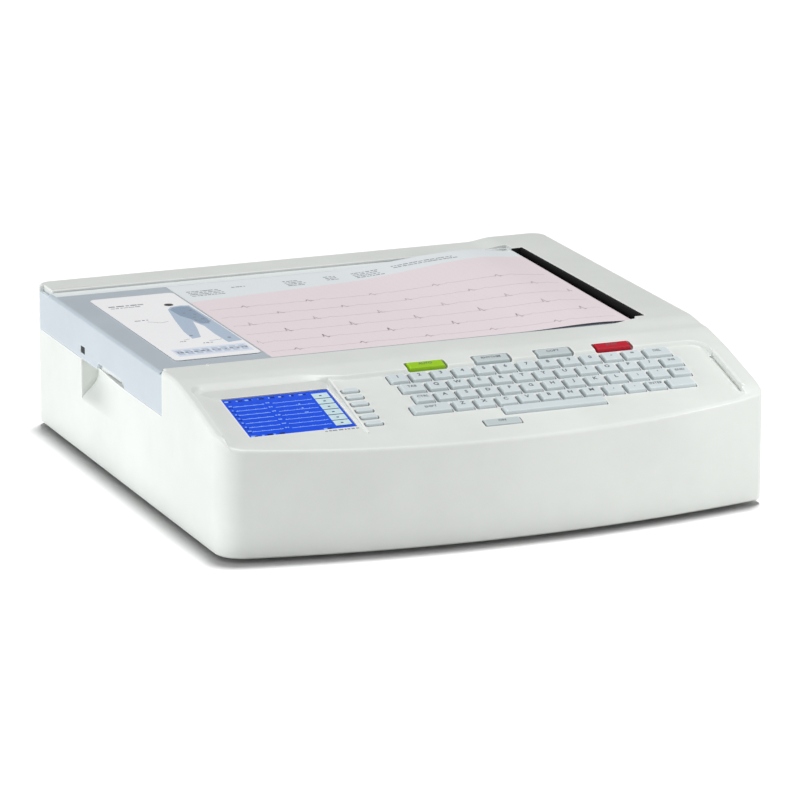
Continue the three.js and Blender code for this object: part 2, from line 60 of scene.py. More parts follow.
FRONT_ARC = Sizes(centre_y=645.3, radius=851.5)
FRONT_LEFT = Sizes(x=177.0, y=-166.12, radius=21.0)
FRONT_RIGHT = Sizes(x=192.0, y=-178.11, radius=6.0)
REAR_CORNER = Sizes(x=187.0, y=195.15, radius=11.0)
LEFT_LEAN = math.atan2(FRONT_LEFT.y - FRONT_ARC.centre_y, FRONT_LEFT.x)
RIGHT_LEAN = math.atan2(FRONT_RIGHT.y - FRONT_ARC.centre_y, FRONT_RIGHT.x)

# The keyboard deck: a point on it, and its slope. Deck places are across, up the slope, and off the deck.
DECK_Y = -182.88
DECK_Z = 78.88
DECK_TAN = 0.26667
DECK_ANGLE = math.atan(DECK_TAN)
DECK_COS = math.cos(DECK_ANGLE)
DECK_MATRIX = Matrix.Translation((0, DECK_Y, DECK_Z)) @ Matrix.Rotation(DECK_ANGLE, 4, "X")

# The rim round the keyboard pocket, the shoulder above it, and the pocket's own walls.
RIM = Sizes(y=-113.1, z=101.0, tan=0.2635)
SHOULDER = Sizes(y=-74.4, length=47.8, crease=-92.0, drop=0.4)
POCKET = Sizes(left=-192.6, right=184.4, side_wall=1.4, left_corner=10.0, right_corner=13.0)
KEYBOARD_EDGE = Sizes(rear=-108.6, wall=3.0)
SCREEN_EDGE = Sizes(rear=-100.4, wall=6.6)
POCKET_SIDES = ((POCKET.left, POCKET.left_corner, -1), (POCKET.right, POCKET.right_corner, 1))
EDGE_STEP = (-115.0, -80.0)
POCKET_FADE = (-189.0, -171.0)
# A plan is left, right, front, rear and corner radius.
GROOVE = Sizes(plan=(181.6, POCKET.right, 5.5, 57.0, 1.3), depth=1.2)
BEAD = Sizes(plan=(184.2, 187.0, 8.0, 59.0, 1.3), bottom=1.0, top=4.1)
RIB = Sizes(plan=(-93.4, -91.6, 2.0, 78.0, 0.9), bottom=-2.0, top=1.0)
BLOCK_RAMP = Sizes(left=137.0, right=157.0, front=-84.0, back=-62.0)

BAY = Sizes(right=157.4, front=-60.3, rear=176.3, corner=1.2, floor=99.0)
SLOT = Sizes(right=166.0, front=-55.05, rear=166.3, corner=0.8)
BAY_BEVEL = 0.5
SKIRT = Sizes(bottom=73.0, grip_bottom=78.0, grip_front=11.3, grip_rear=66.8, front=-65.0, rear=195.0)
COVER = Sizes(right=157.1, front=-60.0, rear=176.0, top=102.9, plate=2.5, skin=2.7, corner=2.6)
SCOOP = Sizes(x=-208.05, z=61.5, radius=22.65, reach=18.5, rear=104.0, front=12.0)
PLATEN = Sizes(x=150.0, z=91.0, shaft=2.5, front=-53.0, rear=164.0)
LATCH = Sizes(x=-192.6, z=84.0, front=28.0, rear=55.5, pin=1.2)
# Boxes: left, right, front, rear, bottom and top.
# The black pad in the skirt's notch is painted shade for the dark gap there.
NOTCH_SHADE_PAD = (-197.8, -195.2, 96.3, 104.9, 77.3, 81.9)
# A matt black pad at the slot's rear end: painted shade for the slot's dark depth.
SLOT_SHADE_PAD = (157.4, 164.2, 165.4, 166.25, 99.0, 106.6)
SCREEN_BED = (-193, -89, -1, 80, -7, -1)

LCD = Sizes(left=-172.5, right=-96.1, front=14.3, rear=71.9)
WELL = Sizes(left=-190.5, right=-93.0, front=2.0, rear=77.8, depth=4.1)
WELL_SIDE = Sizes(left=15.5, right=1.6, front=8.0, rear=4.4)
WELL_CORNER = Sizes(top=7.0, foot=2.5)
SCREEN_FALL = WELL.depth / (WELL.rear - WELL.front)
SCREEN_SINK = 0.7

KEY = Sizes(pitch=15.86, row_pitch=14.41, left=-54.14, first_row=67.47, gap=2.6, depth=11.8, top=2.2)
KEY_HOLE = Sizes(side=0.95, bevel=0.2, bottom=-9.0)
KEY_SKIRT = Sizes(across=0.8, along=0.7, bottom=-9.0, top=-7.4)

CARD = Sizes(plan=(-178.0, -115.0, -38.5, 144.5, 4.0), bottom=103.2, top=103.6)
PAPER = Sizes(left=-113.0, front=-52.5, rear=163.5, level=102.96, thick=0.12)
INK_THICK = 0.05


# ---- mesh helpers
def smooth(t):
    """0 below 0, 1 above 1, and an easy curve between."""
    t = np.clip(t, 0.0, 1.0)
    return t * t * (3 - 2 * t)


def ease(value, start, end):
    return smooth((value - start) / (end - start))


def new_object(name, points, faces, matrix=None):
    """A mesh object from millimetre points, optionally turned by a millimetre matrix first."""
    placed = [matrix @ Vector(p) for p in points] if matrix else [Vector(p) for p in points]
    mesh = bpy.data.meshes.new(name)
    mesh.from_pydata([tuple(p * MM) for p in placed], [], faces)
    mesh.validate()
    mesh.update()
    return in_scene(name, mesh)


def in_scene(name, data):
    holder = bpy.data.objects.new(name, data)
    bpy.context.scene.collection.objects.link(holder)
    return holder


def stack(rings):
    """Points and faces of a skin through rings of equal length, with both ends capped."""
    count = len(rings[0])
    top = (len(rings) - 1) * count
    faces = []
    for low in range(0, top, count):
        for i in range(count):
            j = (i + 1) % count
            faces.append((low + i, low + j, low + count + j, low + count + i))
    faces += [tuple(reversed(range(count))), tuple(range(top, top + count))]
    return [tuple(p) for ring in rings for p in ring], faces


def merge(parts):
    """One points-and-faces pair from several."""
    points, faces = [], []
    for part_points, part_faces in parts:
        base = len(points)
        points += list(part_points)
        faces += [tuple(base + i for i in face) for face in part_faces]
    return points, faces


def arc(cx, cy, radius, start, end, steps):
    angles = [start + (end - start) * i / steps for i in range(steps + 1)]
    return [(cx + radius * math.cos(a), cy + radius * math.sin(a)) for a in angles]


def circle(x, y, radius, sides=32, turn=1):
    angles = np.linspace(0, turn * 2 * math.pi, sides, False)
    return [(x + radius * math.cos(a), y + radius * math.sin(a)) for a in angles]


def quarter_round(radius, steps, first=0):
    """(inset, drop) pairs round a quarter circle, from its side to its top."""
    angles = [QUARTER * i / steps for i in range(first, steps + 1)]
    return [(radius * (1 - math.cos(a)), radius * (1 - math.sin(a))) for a in angles]


def rounded_rectangle(x0, x1, y0, y1, radius, inset=0.0, steps=6):
    """Plan points, anticlockwise, drawn in by inset."""
    r = max(radius - inset, 0.02)
    left, right, front, rear = x0 + inset + r, x1 - inset - r, y0 + inset + r, y1 - inset - r
    return (
        arc(right, front, r, -QUARTER, 0, steps)
        + arc(right, rear, r, 0, QUARTER, steps)
        + arc(left, rear, r, QUARTER, 2 * QUARTER, steps)
        + arc(left, front, r, 2 * QUARTER, 3 * QUARTER, steps)
    )


def column(outline, z0, z1):
    return stack([[(x, y, z) for x, y in outline] for z in (z0, z1)])


def plain_box(x0, x1, y0, y1, z0, z1):
    return column([(x0, y0), (x1, y0), (x1, y1), (x0, y1)], z0, z1)


def soft_slab(x0, x1, y0, y1, corner, z0, z1, top_radius, bottom_radius=0.0, steps=4):
    """A slab with rounded plan corners and rounded top and bottom edges."""
    def ring(inset, z):
        return [(x, y, z) for x, y in rounded_rectangle(x0, x1, y0, y1, corner, inset)]

    low = [ring(0.0, z0)]
    if bottom_radius > 0:
        low = [ring(inset, z0 + drop) for inset, drop in reversed(quarter_round(bottom_radius, steps))]
    return stack(low + [ring(inset, z1 - drop) for inset, drop in quarter_round(top_radius, steps)])


def soft_box(x0, x1, y0, y1, z0, z1, radius):
    return soft_slab(x0, x1, y0, y1, radius, z0, z1, radius, radius, 3)


def flared_box(x0, x1, y0, y1, corner, z0, z1, flare):
    """A cutter that widens by flare at its top, so the edge it leaves is bevelled."""
    foot = rounded_rectangle(x0, x1, y0, y1, corner, 0.0, 4)
    mouth = rounded_rectangle(x0, x1, y0, y1, corner, -flare, 4)
    levels = ((foot, z0), (foot, z1 - flare), (mouth, z1), (mouth, z1 + 12))
    return stack([[(x, y, z) for x, y in plan] for plan, z in levels])


def prism(profile, low, high, axis):
    """A prism of (a, b) points: axis X reads them as y, z; axis Y reads them as x, z."""
    if axis == "X":
        return stack([[(s, a, b) for a, b in profile] for s in (low, high)])
    return stack([[(a, s, b) for a, b in reversed(profile)] for s in (low, high)])


def bar_along_y(x, z, radius, y0, y1, sides=32):
    return stack([[(px, y, pz) for px, pz in circle(x, z, radius, sides, -1)] for y in (y0, y1)])


def apply_modifiers(piece):
    graph = bpy.context.evaluated_depsgraph_get()
    result = bpy.data.meshes.new_from_object(piece.evaluated_get(graph))
    piece.modifiers.clear()
    piece.data = result


def boolean(piece, tool, operation):
    """Applies one exact cut, join or overlap, and drops the tool."""
    step = piece.modifiers.new("step", "BOOLEAN")
    step.operation = operation
    step.solver = "MANIFOLD"
    step.object = tool
    apply_modifiers(piece)
    bpy.data.objects.remove(tool)
    return piece


def cut(piece, part, matrix=None):
    return boolean(piece, new_object("tool", *part, matrix), "DIFFERENCE")


def add(piece, part, matrix=None):
    return boolean(piece, new_object("tool", *part, matrix), "UNION")


def overlap(piece, part):
    return boolean(piece, new_object("tool", *part), "INTERSECT")


def finish_piece(piece, body, slot, material, *nodes, angle=32.0):
    """Material, shading, and the CAD body and nodes that the piece belongs to. The slot argument is not used.
    """
    piece.data.materials.clear()
    piece.data.materials.append(MATERIALS[material])
    piece.data.shade_smooth()
    piece.data.set_sharp_from_angle(angle=math.radians(angle))
    weighted = piece.modifiers.new("normals", "WEIGHTED_NORMAL")
    weighted.keep_sharp = True
    weighted.weight = 80
    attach(piece, body)
    if nodes:
        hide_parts(*nodes)
    return piece


def keep_side_flat(piece):
    """Marks every edge round the flat left side as sharp, so that its shading stays even."""
    mesh = piece.data
    uses = {}
    for face in mesh.polygons:
        if face.normal.x < -0.9999:
            for key in face.edge_keys:
                uses[key] = uses.get(key, 0) + 1
    for edge in mesh.edges:
        if uses.get(edge.key) == 1:
            edge.use_edge_sharp = True


# ---- materials
class Look:
    """A procedural material and the steps that feed its shader."""

    def __init__(self, name):
        self.material = bpy.data.materials.new(name)
        self.material.use_nodes = True
        self.tree = self.material.node_tree
        self.shader = self.tree.nodes["Principled BSDF"]

    def fill(self, node, inputs):
        """Links each input that is given a socket, and sets the others."""
        for key, value in inputs.items():
            if isinstance(value, bpy.types.NodeSocket):
                self.tree.links.new(value, node.inputs[key])
            else:
                node.inputs[key].default_value = value

    def step(self, kind, output, inputs, **settings):
        """One node, and the named output of it."""
        node = self.tree.nodes.new("ShaderNode" + kind)
        for key, value in settings.items():
            setattr(node, key, value)
        self.fill(node, inputs)
        return node.outputs[output]

    def finish(self, inputs):
        self.fill(self.shader, inputs)
        return self.material

    def place(self):
        """The object's own coordinates, so that the detail rides with the piece."""
        return self.step("TexCoord", "Object", {})

    def noise(self, scale, detail=4.0, roughness=0.6):
        inputs = {"Vector": self.place(), "Scale": scale, "Detail": detail, "Roughness": roughness}
        return self.step("TexNoise", "Fac", inputs)

    def ramp(self, value, low, high, low_at=0.0, high_at=1.0):
        inputs = {"Value": value, "From Min": low_at, "From Max": high_at, "To Min": low, "To Max": high}
        return self.step("MapRange", "Result", inputs)

    def spread(self, value, low_at=0.3, high_at=0.7):
        """Noise spread out to run from 0 to 1."""
        return self.ramp(value, 0.0, 1.0, low_at, high_at)

    def uneven(self, scale, middle, less, more):
        """A roughness that wanders round its middle."""
        return self.ramp(self.noise(scale), middle - less, middle + more)

    def mix(self, factor, first, second):
        first, second = (c if isinstance(c, bpy.types.NodeSocket) else (*c, 1.0) for c in (first, second))
        return self.step("Mix", "Result", {"Factor": factor, "A": first, "B": second}, data_type="RGBA")

    def bump(self, height, strength, distance):
        inputs = {"Height": height, "Strength": strength, "Distance": distance * MM}
        return self.step("Bump", "Normal", inputs)

    def maths(self, operation, first, second):
        return self.step("Math", "Value", {0: first, 1: second}, operation=operation)

    def painted_edge_highlight(self, reach=1.6):
        """1 along convex edges, 0 elsewhere: how near the next face is, felt from inside the solid. It masks
        the painted highlight laid along edges.
        """
        inputs = {"Distance": reach * MM}
        near = self.step("AmbientOcclusion", "AO", inputs, inside=True, only_local=True, samples=6)
        return self.ramp(near, 1.0, 0.0, 0.5, 0.93)


def darker(colour, share):
    return tuple(c * share for c in colour)


def moulded(name, colour, roughness=0.45, grain=0.25, coat=0.0, gloss=0.5):
    """Moulded plastic or elastomer: fine grain, faint cloudiness, and convex edges painted paler as a
    highlight.
    """
    look = Look(name)
    cloud = look.spread(look.noise(14.0, 5.0), 0.35, 0.65)
    body = look.mix(cloud, darker(colour, 0.94), colour)
    # pale is a painted highlight colour for convex edges, standing in for light caught there.
    pale = tuple(min(0.95, c * 1.16 + 0.02) for c in colour)
    return look.finish({
        "Base Color": look.mix(look.painted_edge_highlight(), body, pale),
        "Roughness": look.uneven(60.0, roughness, 0.05, 0.07),
        "Normal": look.bump(look.noise(1800.0, 2.0), grain, 0.05),
        "Specular IOR Level": gloss,
        "Coat Weight": coat,
        "Coat Roughness": 0.15,
    })


def metal(name, colour, roughness=0.35, stretch=(1.0, 40.0, 1.0)):
    """Rolled or drawn metal: grain drawn out along one axis, small stains in the gloss."""
    look = Look(name)
    drawn_out = look.step("Mapping", "Vector", {"Vector": look.place(), "Scale": stretch})
    streak = look.step("TexNoise", "Fac", {"Vector": drawn_out, "Scale": 90.0, "Detail": 5.0})
    return look.finish({
        "Base Color": look.mix(look.spread(streak), darker(colour, 0.82), colour),
        "Roughness": look.ramp(streak, roughness - 0.08, roughness + 0.12),
        "Metallic": 1.0,
        "Normal": look.bump(streak, 0.15, 0.05),
    })


def fibrous(name, colour, roughness=0.75):
    """Paper or card: short fibres in the colour and the surface."""
    look = Look(name)
    fibre = look.noise(700.0, 6.0, 0.7)
    return look.finish({
        "Base Color": look.mix(look.spread(fibre), darker(colour, 0.965), colour),
        "Roughness": look.uneven(45.0, roughness, 0.06, 0.06),
        "Normal": look.bump(fibre, 0.2, 0.04),
    })


def ink(name, colour, roughness=0.6):
    """Printed ink: slightly uneven in depth."""
    look = Look(name)
    depth = look.spread(look.noise(900.0))
    pale = tuple(c + (1 - c) * 0.12 for c in colour)
    return look.finish({
        "Base Color": look.mix(depth, pale, colour),
        "Roughness": look.uneven(80.0, roughness, 0.05, 0.05),
    })


def glowing(name, colour):
    """A lit part of the display: a little uneven, under glass with almost no glare."""
    look = Look(name)
    patches = look.spread(look.noise(260.0, 3.0))
    return look.finish({
        "Base Color": look.mix(patches, darker(colour, 0.05), darker(colour, 0.08)),
        "Emission Color": look.mix(patches, darker(colour, 0.88), colour),
        "Emission Strength": 0.92,
        "Roughness": 0.3,
        "Specular IOR Level": 0.12,
    })


def chart_paper():
    """White chart paper with a pink grid printed in front of a plain heading strip."""
    look = Look("chart_paper")
    across = look.step("SeparateXYZ", "X", {"Vector": look.place()})
    along = across.node.outputs["Y"]

    def grid_lines(pitch, width):
        cells = [look.maths("FRACT", look.maths("DIVIDE", axis, pitch * MM), 0.0) for axis in (across, along)]
        return look.maths("MAXIMUM", *(look.maths("LESS_THAN", cell, width / pitch) for cell in cells))

    fine = look.maths("MULTIPLY", grid_lines(1.0, 0.14), 0.12)
    bold = look.maths("MULTIPLY", grid_lines(5.0, 0.3), 0.3)
    heading_edge = look.maths("ADD", look.maths("MULTIPLY", across, 0.11), 0.1265)
    fibre = look.spread(look.noise(700.0, 6.0, 0.7))
    plain = look.mix(fibre, (0.76, 0.80, 0.83), (0.80, 0.84, 0.86))
    tinted = look.mix(look.maths("MAXIMUM", fine, bold), (0.83, 0.745, 0.77), (0.74, 0.53, 0.56))
    return look.finish({
        "Base Color": look.mix(look.maths("LESS_THAN", along, heading_edge), plain, tinted),
        "Roughness": look.ramp(look.noise(45.0), 0.6, 0.75),
        "Normal": look.bump(look.noise(500.0, 5.0), 0.15, 0.04),
    })


MATERIALS = {
    "shell": moulded("shell_plastic", (0.80, 0.83, 0.795), 0.42, coat=0.08),
    "cover_top": moulded("cover_plastic", (0.53, 0.60, 0.655), 0.3, grain=0.1, coat=0.25),
    "cover_skirt": moulded("cover_skirt_plastic", (0.76, 0.805, 0.87), 0.3, grain=0.1, coat=0.25),
    "key": moulded("key_elastomer", (0.66, 0.73, 0.75), 0.5),
    "grey_key": moulded("grey_elastomer", (0.55, 0.62, 0.63), 0.5),
    "green": moulded("green_elastomer", (0.34, 0.62, 0.012), 0.35, gloss=0.25),
    "red": moulded("red_elastomer", (0.50, 0.010, 0.028), 0.35, gloss=0.25),
    "black": moulded("black_plastic", (0.018, 0.019, 0.02), 0.5),
    # Matt black: the printhead parts' own colour, and painted shade on the pad in the slot's end.
    "matt_black_and_shade": moulded("matt_black", (0.007, 0.007, 0.007), 0.9, gloss=0.05),
    # Black rubber: the feet and roller, and painted shade on the pad in the skirt's notch.
    "rubber": moulded("black_rubber", (0.02, 0.02, 0.022), 0.7, grain=0.4),
    "nylon": moulded("gear_nylon", (0.78, 0.77, 0.70), 0.5),
    "board": moulded("circuit_board", (0.02, 0.12, 0.06), 0.35, coat=0.3),
    "steel": metal("plain_steel", (0.55, 0.56, 0.58)),
    "aluminium": metal("extruded_aluminium", (0.72, 0.73, 0.75), 0.4, (60.0, 1.0, 1.0)),
    "brass": metal("turned_brass", (0.70, 0.52, 0.22), 0.3),
    "card": fibrous("label_card", (0.96, 0.96, 0.97), 0.5),
    "chart": chart_paper(),
    "ink": ink("grey_ink", (0.22, 0.24, 0.27)),
    "black_ink": ink("black_ink", (0.01, 0.01, 0.012)),
    "blue_ink": ink("blue_grey_ink", (0.72, 0.78, 0.90)),
    "box_ink": ink("box_ink", (0.50, 0.57, 0.69)),
    "torso_ink": ink("torso_ink", (0.42, 0.52, 0.65)),
    "chest_ink": ink("chest_ink", (0.24, 0.33, 0.45)),
    "legend": ink("legend_ink", (0.05, 0.065, 0.085)),
    "trace": ink("trace_ink", (0.50, 0.44, 0.46)),
    "lcd": glowing("display_blue", (0.010, 0.085, 0.78)),
    "lcd_line": glowing("display_line", (0.30, 0.50, 0.98)),
    "lcd_box": glowing("display_box", (0.60, 0.78, 0.80)),
    "lcd_dark": glowing("display_dark", (0.004, 0.02, 0.20)),
}


# ---- housing
# Where the straight sides carry a vertex: close together where the top surface curves.
SIDE_STEPS = sorted({*np.linspace(-160, 188, 24), *np.arange(-122.5, -50, 3.0), *np.arange(-184, -156, 4.0)})
REAR_STEPS = sorted({*np.linspace(-180, 130, 20), *np.arange(135.3, 160, 2.5), 170, 180})


def body_plan(inset=0.0, front_steps=48, corner_steps=18):
    """The outline seen from above, anticlockwise from the front left."""
    front = FRONT_ARC.radius - inset
    left, right, rear = (corner.radius - inset for corner in (FRONT_LEFT, FRONT_RIGHT, REAR_CORNER))
    outline = arc(0, FRONT_ARC.centre_y, front, -math.pi - LEFT_LEAN, RIGHT_LEAN, front_steps)
    outline += arc(FRONT_RIGHT.x, FRONT_RIGHT.y, right, RIGHT_LEAN, 0, corner_steps)[1:]
    outline += [(HALF_WIDTH - inset, y) for y in SIDE_STEPS if y > FRONT_RIGHT.y + 1]
    outline += arc(REAR_CORNER.x, REAR_CORNER.y, rear, 0, QUARTER, corner_steps)
    outline += [(x, REAR_Y - inset) for x in reversed(REAR_STEPS)]
    outline += arc(-REAR_CORNER.x, REAR_CORNER.y, rear, QUARTER, 2 * QUARTER, corner_steps)
    outline += [(inset - HALF_WIDTH, y) for y in reversed(SIDE_STEPS) if y > FRONT_LEFT.y + 1]
    outline += arc(-FRONT_LEFT.x, FRONT_LEFT.y, left, math.pi, math.pi - LEFT_LEAN, corner_steps)[:-1]
    return outline


def edge_distance(x, y):
    """How far a plan point lies inside the body outline."""
    ax = np.abs(x)
    straight = np.minimum(HALF_WIDTH - ax, REAR_Y - y)
    inside = np.minimum(straight, FRONT_ARC.radius - np.hypot(x, y - FRONT_ARC.centre_y))
    dx, dy = ax - REAR_CORNER.x, y - REAR_CORNER.y
    inside = np.where((dx > 0) & (dy > 0), REAR_CORNER.radius - np.hypot(dx, dy), inside)
    for corner, lean, sign in ((FRONT_LEFT, LEFT_LEAN, -1), (FRONT_RIGHT, RIGHT_LEAN, 1)):
        dx, dy = x * sign - corner.x, y - corner.y
        in_corner = (dx > 0) & (dy < 0) & (np.arctan2(dy, dx) > lean)
        inside = np.where(in_corner, corner.radius - np.hypot(dx, dy), inside)
    return inside


def deck_height(y):
    return DECK_Z + DECK_TAN * (y - DECK_Y)


def rim_height(y):
    """Top surface before the keyboard pocket is sunk: flat, a soft shoulder with a crease, then the slope."""
    crease, foot = SHOULDER.crease, SHOULDER.y - SHOULDER.length
    slope = RIM.z + RIM.tan * (y - RIM.y)
    top_of_slope = RIM.z + RIM.tan * (foot - RIM.y)
    gentle = TOP_Z - SHOULDER.drop * (np.clip(SHOULDER.y - y, 0.0, None) / (SHOULDER.y - crease)) ** 2
    steep = top_of_slope + (TOP_Z - SHOULDER.drop - top_of_slope) * (y - foot) / (crease - foot)
    top = np.where(y > crease, gentle, np.where(y > foot, steep, slope))
    keep = ease(y, *POCKET_FADE)
    low = deck_height(y)
    return np.where(y < RIM.y, low + (top - low) * keep, top)


def pocket_rear(x):
    """Top edge of the pocket's rear wall and the wall's width. The wall steps back behind the screen."""
    t = ease(x, *EDGE_STEP)
    rear = SCREEN_EDGE.rear + (KEYBOARD_EDGE.rear - SCREEN_EDGE.rear) * t
    return rear, SCREEN_EDGE.wall + (KEYBOARD_EDGE.wall - SCREEN_EDGE.wall) * t


def pocket_share(x, y):
    """0 outside the keyboard pocket, rising to 1 at the foot of its walls. It runs out at the front."""
    rear, wall = pocket_rear(x)
    share = np.minimum((rear - y) / wall, np.minimum(x - POCKET.left, POCKET.right - x) / POCKET.side_wall)
    for edge, corner, sign in POCKET_SIDES:
        dx, dy = (x - edge) * sign + corner, y - (rear - corner)
        turned = np.arctan2(dy, dx) * 2 / math.pi
        width = POCKET.side_wall + (wall - POCKET.side_wall) * turned
        share = np.where((dx > 0) & (dy > 0), (corner - np.hypot(dx, dy)) / width, share)
    return np.clip(share, 0.0, 1.0)


def pocket_corner(edge, corner, sign, share, steps=16):
    """The rounded rear corner of a pocket line."""
    start = 0.0 if sign > 0 else QUARTER
    rear, wall = (float(value) for value in pocket_rear(np.array(edge)))
    points = []
    for i in range(steps + 1):
        a = start + math.pi / (2 * steps) * i
        turned = a if sign > 0 else math.pi - a
        r = corner - share * (POCKET.side_wall + (wall - POCKET.side_wall) * turned * 2 / math.pi)
        points.append((edge - sign * corner + r * math.cos(a), rear - corner + r * math.sin(a)))
    return points


def pocket_line(share):
    """Plan line round the pocket at a share of its walls' fall, from the front right to the front left."""
    rear_line = []
    for x in [*np.linspace(165, -78, 16), *np.linspace(-82, -113, 12), *np.linspace(-118, -176, 6)]:
        top, width = (float(value) for value in pocket_rear(np.array(x)))
        rear_line.append((x, top - share * width))
    right, left = POCKET.right - share * POCKET.side_wall, POCKET.left + share * POCKET.side_wall
    return (
        [(right, y) for y in range(-178, -122, 6)]
        + pocket_corner(*POCKET_SIDES[1], share)
        + rear_line
        + pocket_corner(*POCKET_SIDES[0], share)
        + [(left, y) for y in range(-116, -172, -6)]
    )


def well_ring(t):
    """Rounded-rectangle sizes, in deck plan, of the screen well at share t of its sides' fall."""
    return (
        WELL.left + WELL_SIDE.left * t,
        WELL.right - WELL_SIDE.right * t,
        WELL.front + WELL_SIDE.front * t,
        WELL.rear - WELL_SIDE.rear * t,
        WELL_CORNER.top + (WELL_CORNER.foot - WELL_CORNER.top) * t,
    )


def well_depth(u, v):
    """Fall of the screen well at a deck place. Its floor deepens towards the rear."""
    across = np.minimum((u - WELL.left) / WELL_SIDE.left, (WELL.right - u) / WELL_SIDE.right)
    along = np.minimum((v - WELL.front) / WELL_SIDE.front, (WELL.rear - v) / WELL_SIDE.rear)
    share = np.clip(np.minimum(across, along), 0.0, 1.0)
    fade = np.clip((v - WELL.front) / (WELL.rear - WELL.front), 0.0, 1.0)
    return WELL.depth * fade * share


def top_height(x, y):
    """Height of the housing's top skin, without openings."""
    high = rim_height(y)
    ramp_x = ease(x, BLOCK_RAMP.left, BLOCK_RAMP.right)
    high = high + BLOCK_RISE * ramp_x * ease(y, BLOCK_RAMP.front, BLOCK_RAMP.back)
    low = np.minimum(deck_height(y), high)
    z = high + (low - high) * smooth(pocket_share(x, y))
    z = z - well_depth(x, (y - DECK_Y) / DECK_COS)
    inside = np.clip(edge_distance(x, y), 0.0, EDGE_RADIUS)
    return z - (EDGE_RADIUS - np.sqrt(np.maximum(EDGE_RADIUS**2 - (EDGE_RADIUS - inside) ** 2, 0.0)))


def top_lines():
    """Plan lines that the top skin's triangles must follow, each with True if it closes."""
    lines = [(body_plan(inset), True) for inset, _ in quarter_round(EDGE_RADIUS, 8, 1)]
    lines.append((body_plan(EDGE_RADIUS + 0.7), True))
    for share in (-0.2, 0.0, 0.12, 0.25, 0.4, 0.5, 0.6, 0.75, 0.88, 1.0, 1.2):
        lines.append((pocket_line(share), False))
    lines.append(([(x, SHOULDER.crease) for x in np.linspace(-193, 193, 40)], False))
    for i in range(13):
        ring = rounded_rectangle(*well_ring(i / 12))
        lines.append(([(u, DECK_Y + v * DECK_COS) for u, v in ring], True))
    return lines


def top_dots():
    """Loose plan points over the curved stretches: the shoulder, the block's ramps and the pocket's front."""
    shoulder = [(x, y) for y in np.arange(-122.5, -60.0, 3.0) for x in np.linspace(-189, 189, 37)]
    ramps = [(x, y) for x in np.arange(135.3, 160.0, 2.5) for y in np.linspace(-88.4, 199.4, 40)]
    front = [(x, y) for y in np.arange(-186.3, -156.0, 4.0) for x in np.linspace(-189.4, 189.4, 48)]
    return [p for p in shoulder + ramps + front if edge_distance(*map(np.array, p)) > EDGE_RADIUS + 1.2]


def outer_skin():
    """The housing's outer solid: a triangulated top over walls that follow the outline."""
    outline = body_plan()
    count = len(outline)
    points = [Vector(p) for p in outline]
    edges = [(i, (i + 1) % count) for i in range(count)]
    for line, closed in top_lines():
        base = len(points)
        points += [Vector(p) for p in line]
        edges += [(base + i, base + i + 1) for i in range(len(line) - 1)]
        if closed:
            edges.append((base + len(line) - 1, base))
    points += [Vector(p) for p in top_dots()]
    plan, _, faces, origins, _, _ = delaunay_2d_cdt(points, edges, [list(range(count))], 1, 1e-5)
    place = {source: index for index, sources in enumerate(origins) for source in sources}
    x = np.array([p.x for p in plan])
    y = np.array([p.y for p in plan])
    skin = [tuple(p) for p in zip(x, y, top_height(x, y))]
    rings = [[place[i] for i in range(count)]]
    for inset, drop in quarter_round(FOOT_RADIUS, 4):
        rings.append(range(len(skin), len(skin) + count))
        skin += [(px, py, BODY_BOTTOM + drop) for px, py in body_plan(inset)]
    faces = [tuple(f) for f in faces]
    for upper, lower in zip(rings, rings[1:]):
        faces += [(upper[i], lower[i], lower[(i + 1) % count], upper[(i + 1) % count]) for i in range(count)]
    faces.append(tuple(reversed(rings[-1])))
    return skin, faces


def inner_space():
    """The hollow inside the housing: the plan less the wall, the top plate and the screen's bed."""
    roof = TOP_Z - WALL
    turn = DECK_Y + (roof + TOP_PLATE - DECK_Z) / DECK_TAN
    side = [(212, -1), (212, roof), (turn, roof), (-215, deck_height(-215) - TOP_PLATE), (-215, -1)]
    hollow = new_object("hollow", *prism(side, -200, 200, "X"))
    overlap(hollow, column(body_plan(WALL), -1, ABOVE_ALL))
    return cut(hollow, plain_box(*SCREEN_BED), DECK_MATRIX)


BOSSES = [(187, 193.5), (-187, 193.5), (186, -160), (-186, -160)]
BOSS = Sizes(radius=9.5, bottom=6.1, top=30.0, hole=2.1, hole_top=26.0)
# Left, right, bottom and top of each socket in the rear wall.
SOCKETS = {
    "mains_inlet": (118, 148, 18, 42),
    "network_port": (60, 77, 18, 32),
    "usb_port": (32, 47.6, 20, 28.4),
    "ecg_input_connector": (-70, -28, 18, 32),
}
# Boxes inside the left wall.
FITTINGS = {
    "recess_backing": (-196, -182, 6, 107, 30, SKIRT.bottom - GAP),
    "latch_spring_stop": (-186, -184.4, 30, 54, 70, 79.8),
    "front_latch_lip": (-194.5, -192.5, 6, LATCH.front - 0.4, 72, 79.6),
    "rear_latch_lip": (-194.5, -192.5, LATCH.rear + 0.4, 95, 72, 79.6),
}


def fittings():
    """Parts moulded inside the housing: the backing, stop and lips, the rear left wall, and screw bosses."""
    rear = BAY.rear + GAP
    rear_wall = [(rear, 98), (186, 98), (186, 70), (204, 70), (204, 103), (rear, 103)]
    parts = [plain_box(*box) for box in FITTINGS.values()]
    parts.append(prism(rear_wall, -194.7, -192, "X"))
    return parts + [column(circle(x, y, BOSS.radius), BOSS.bottom, BOSS.top) for x, y in BOSSES]


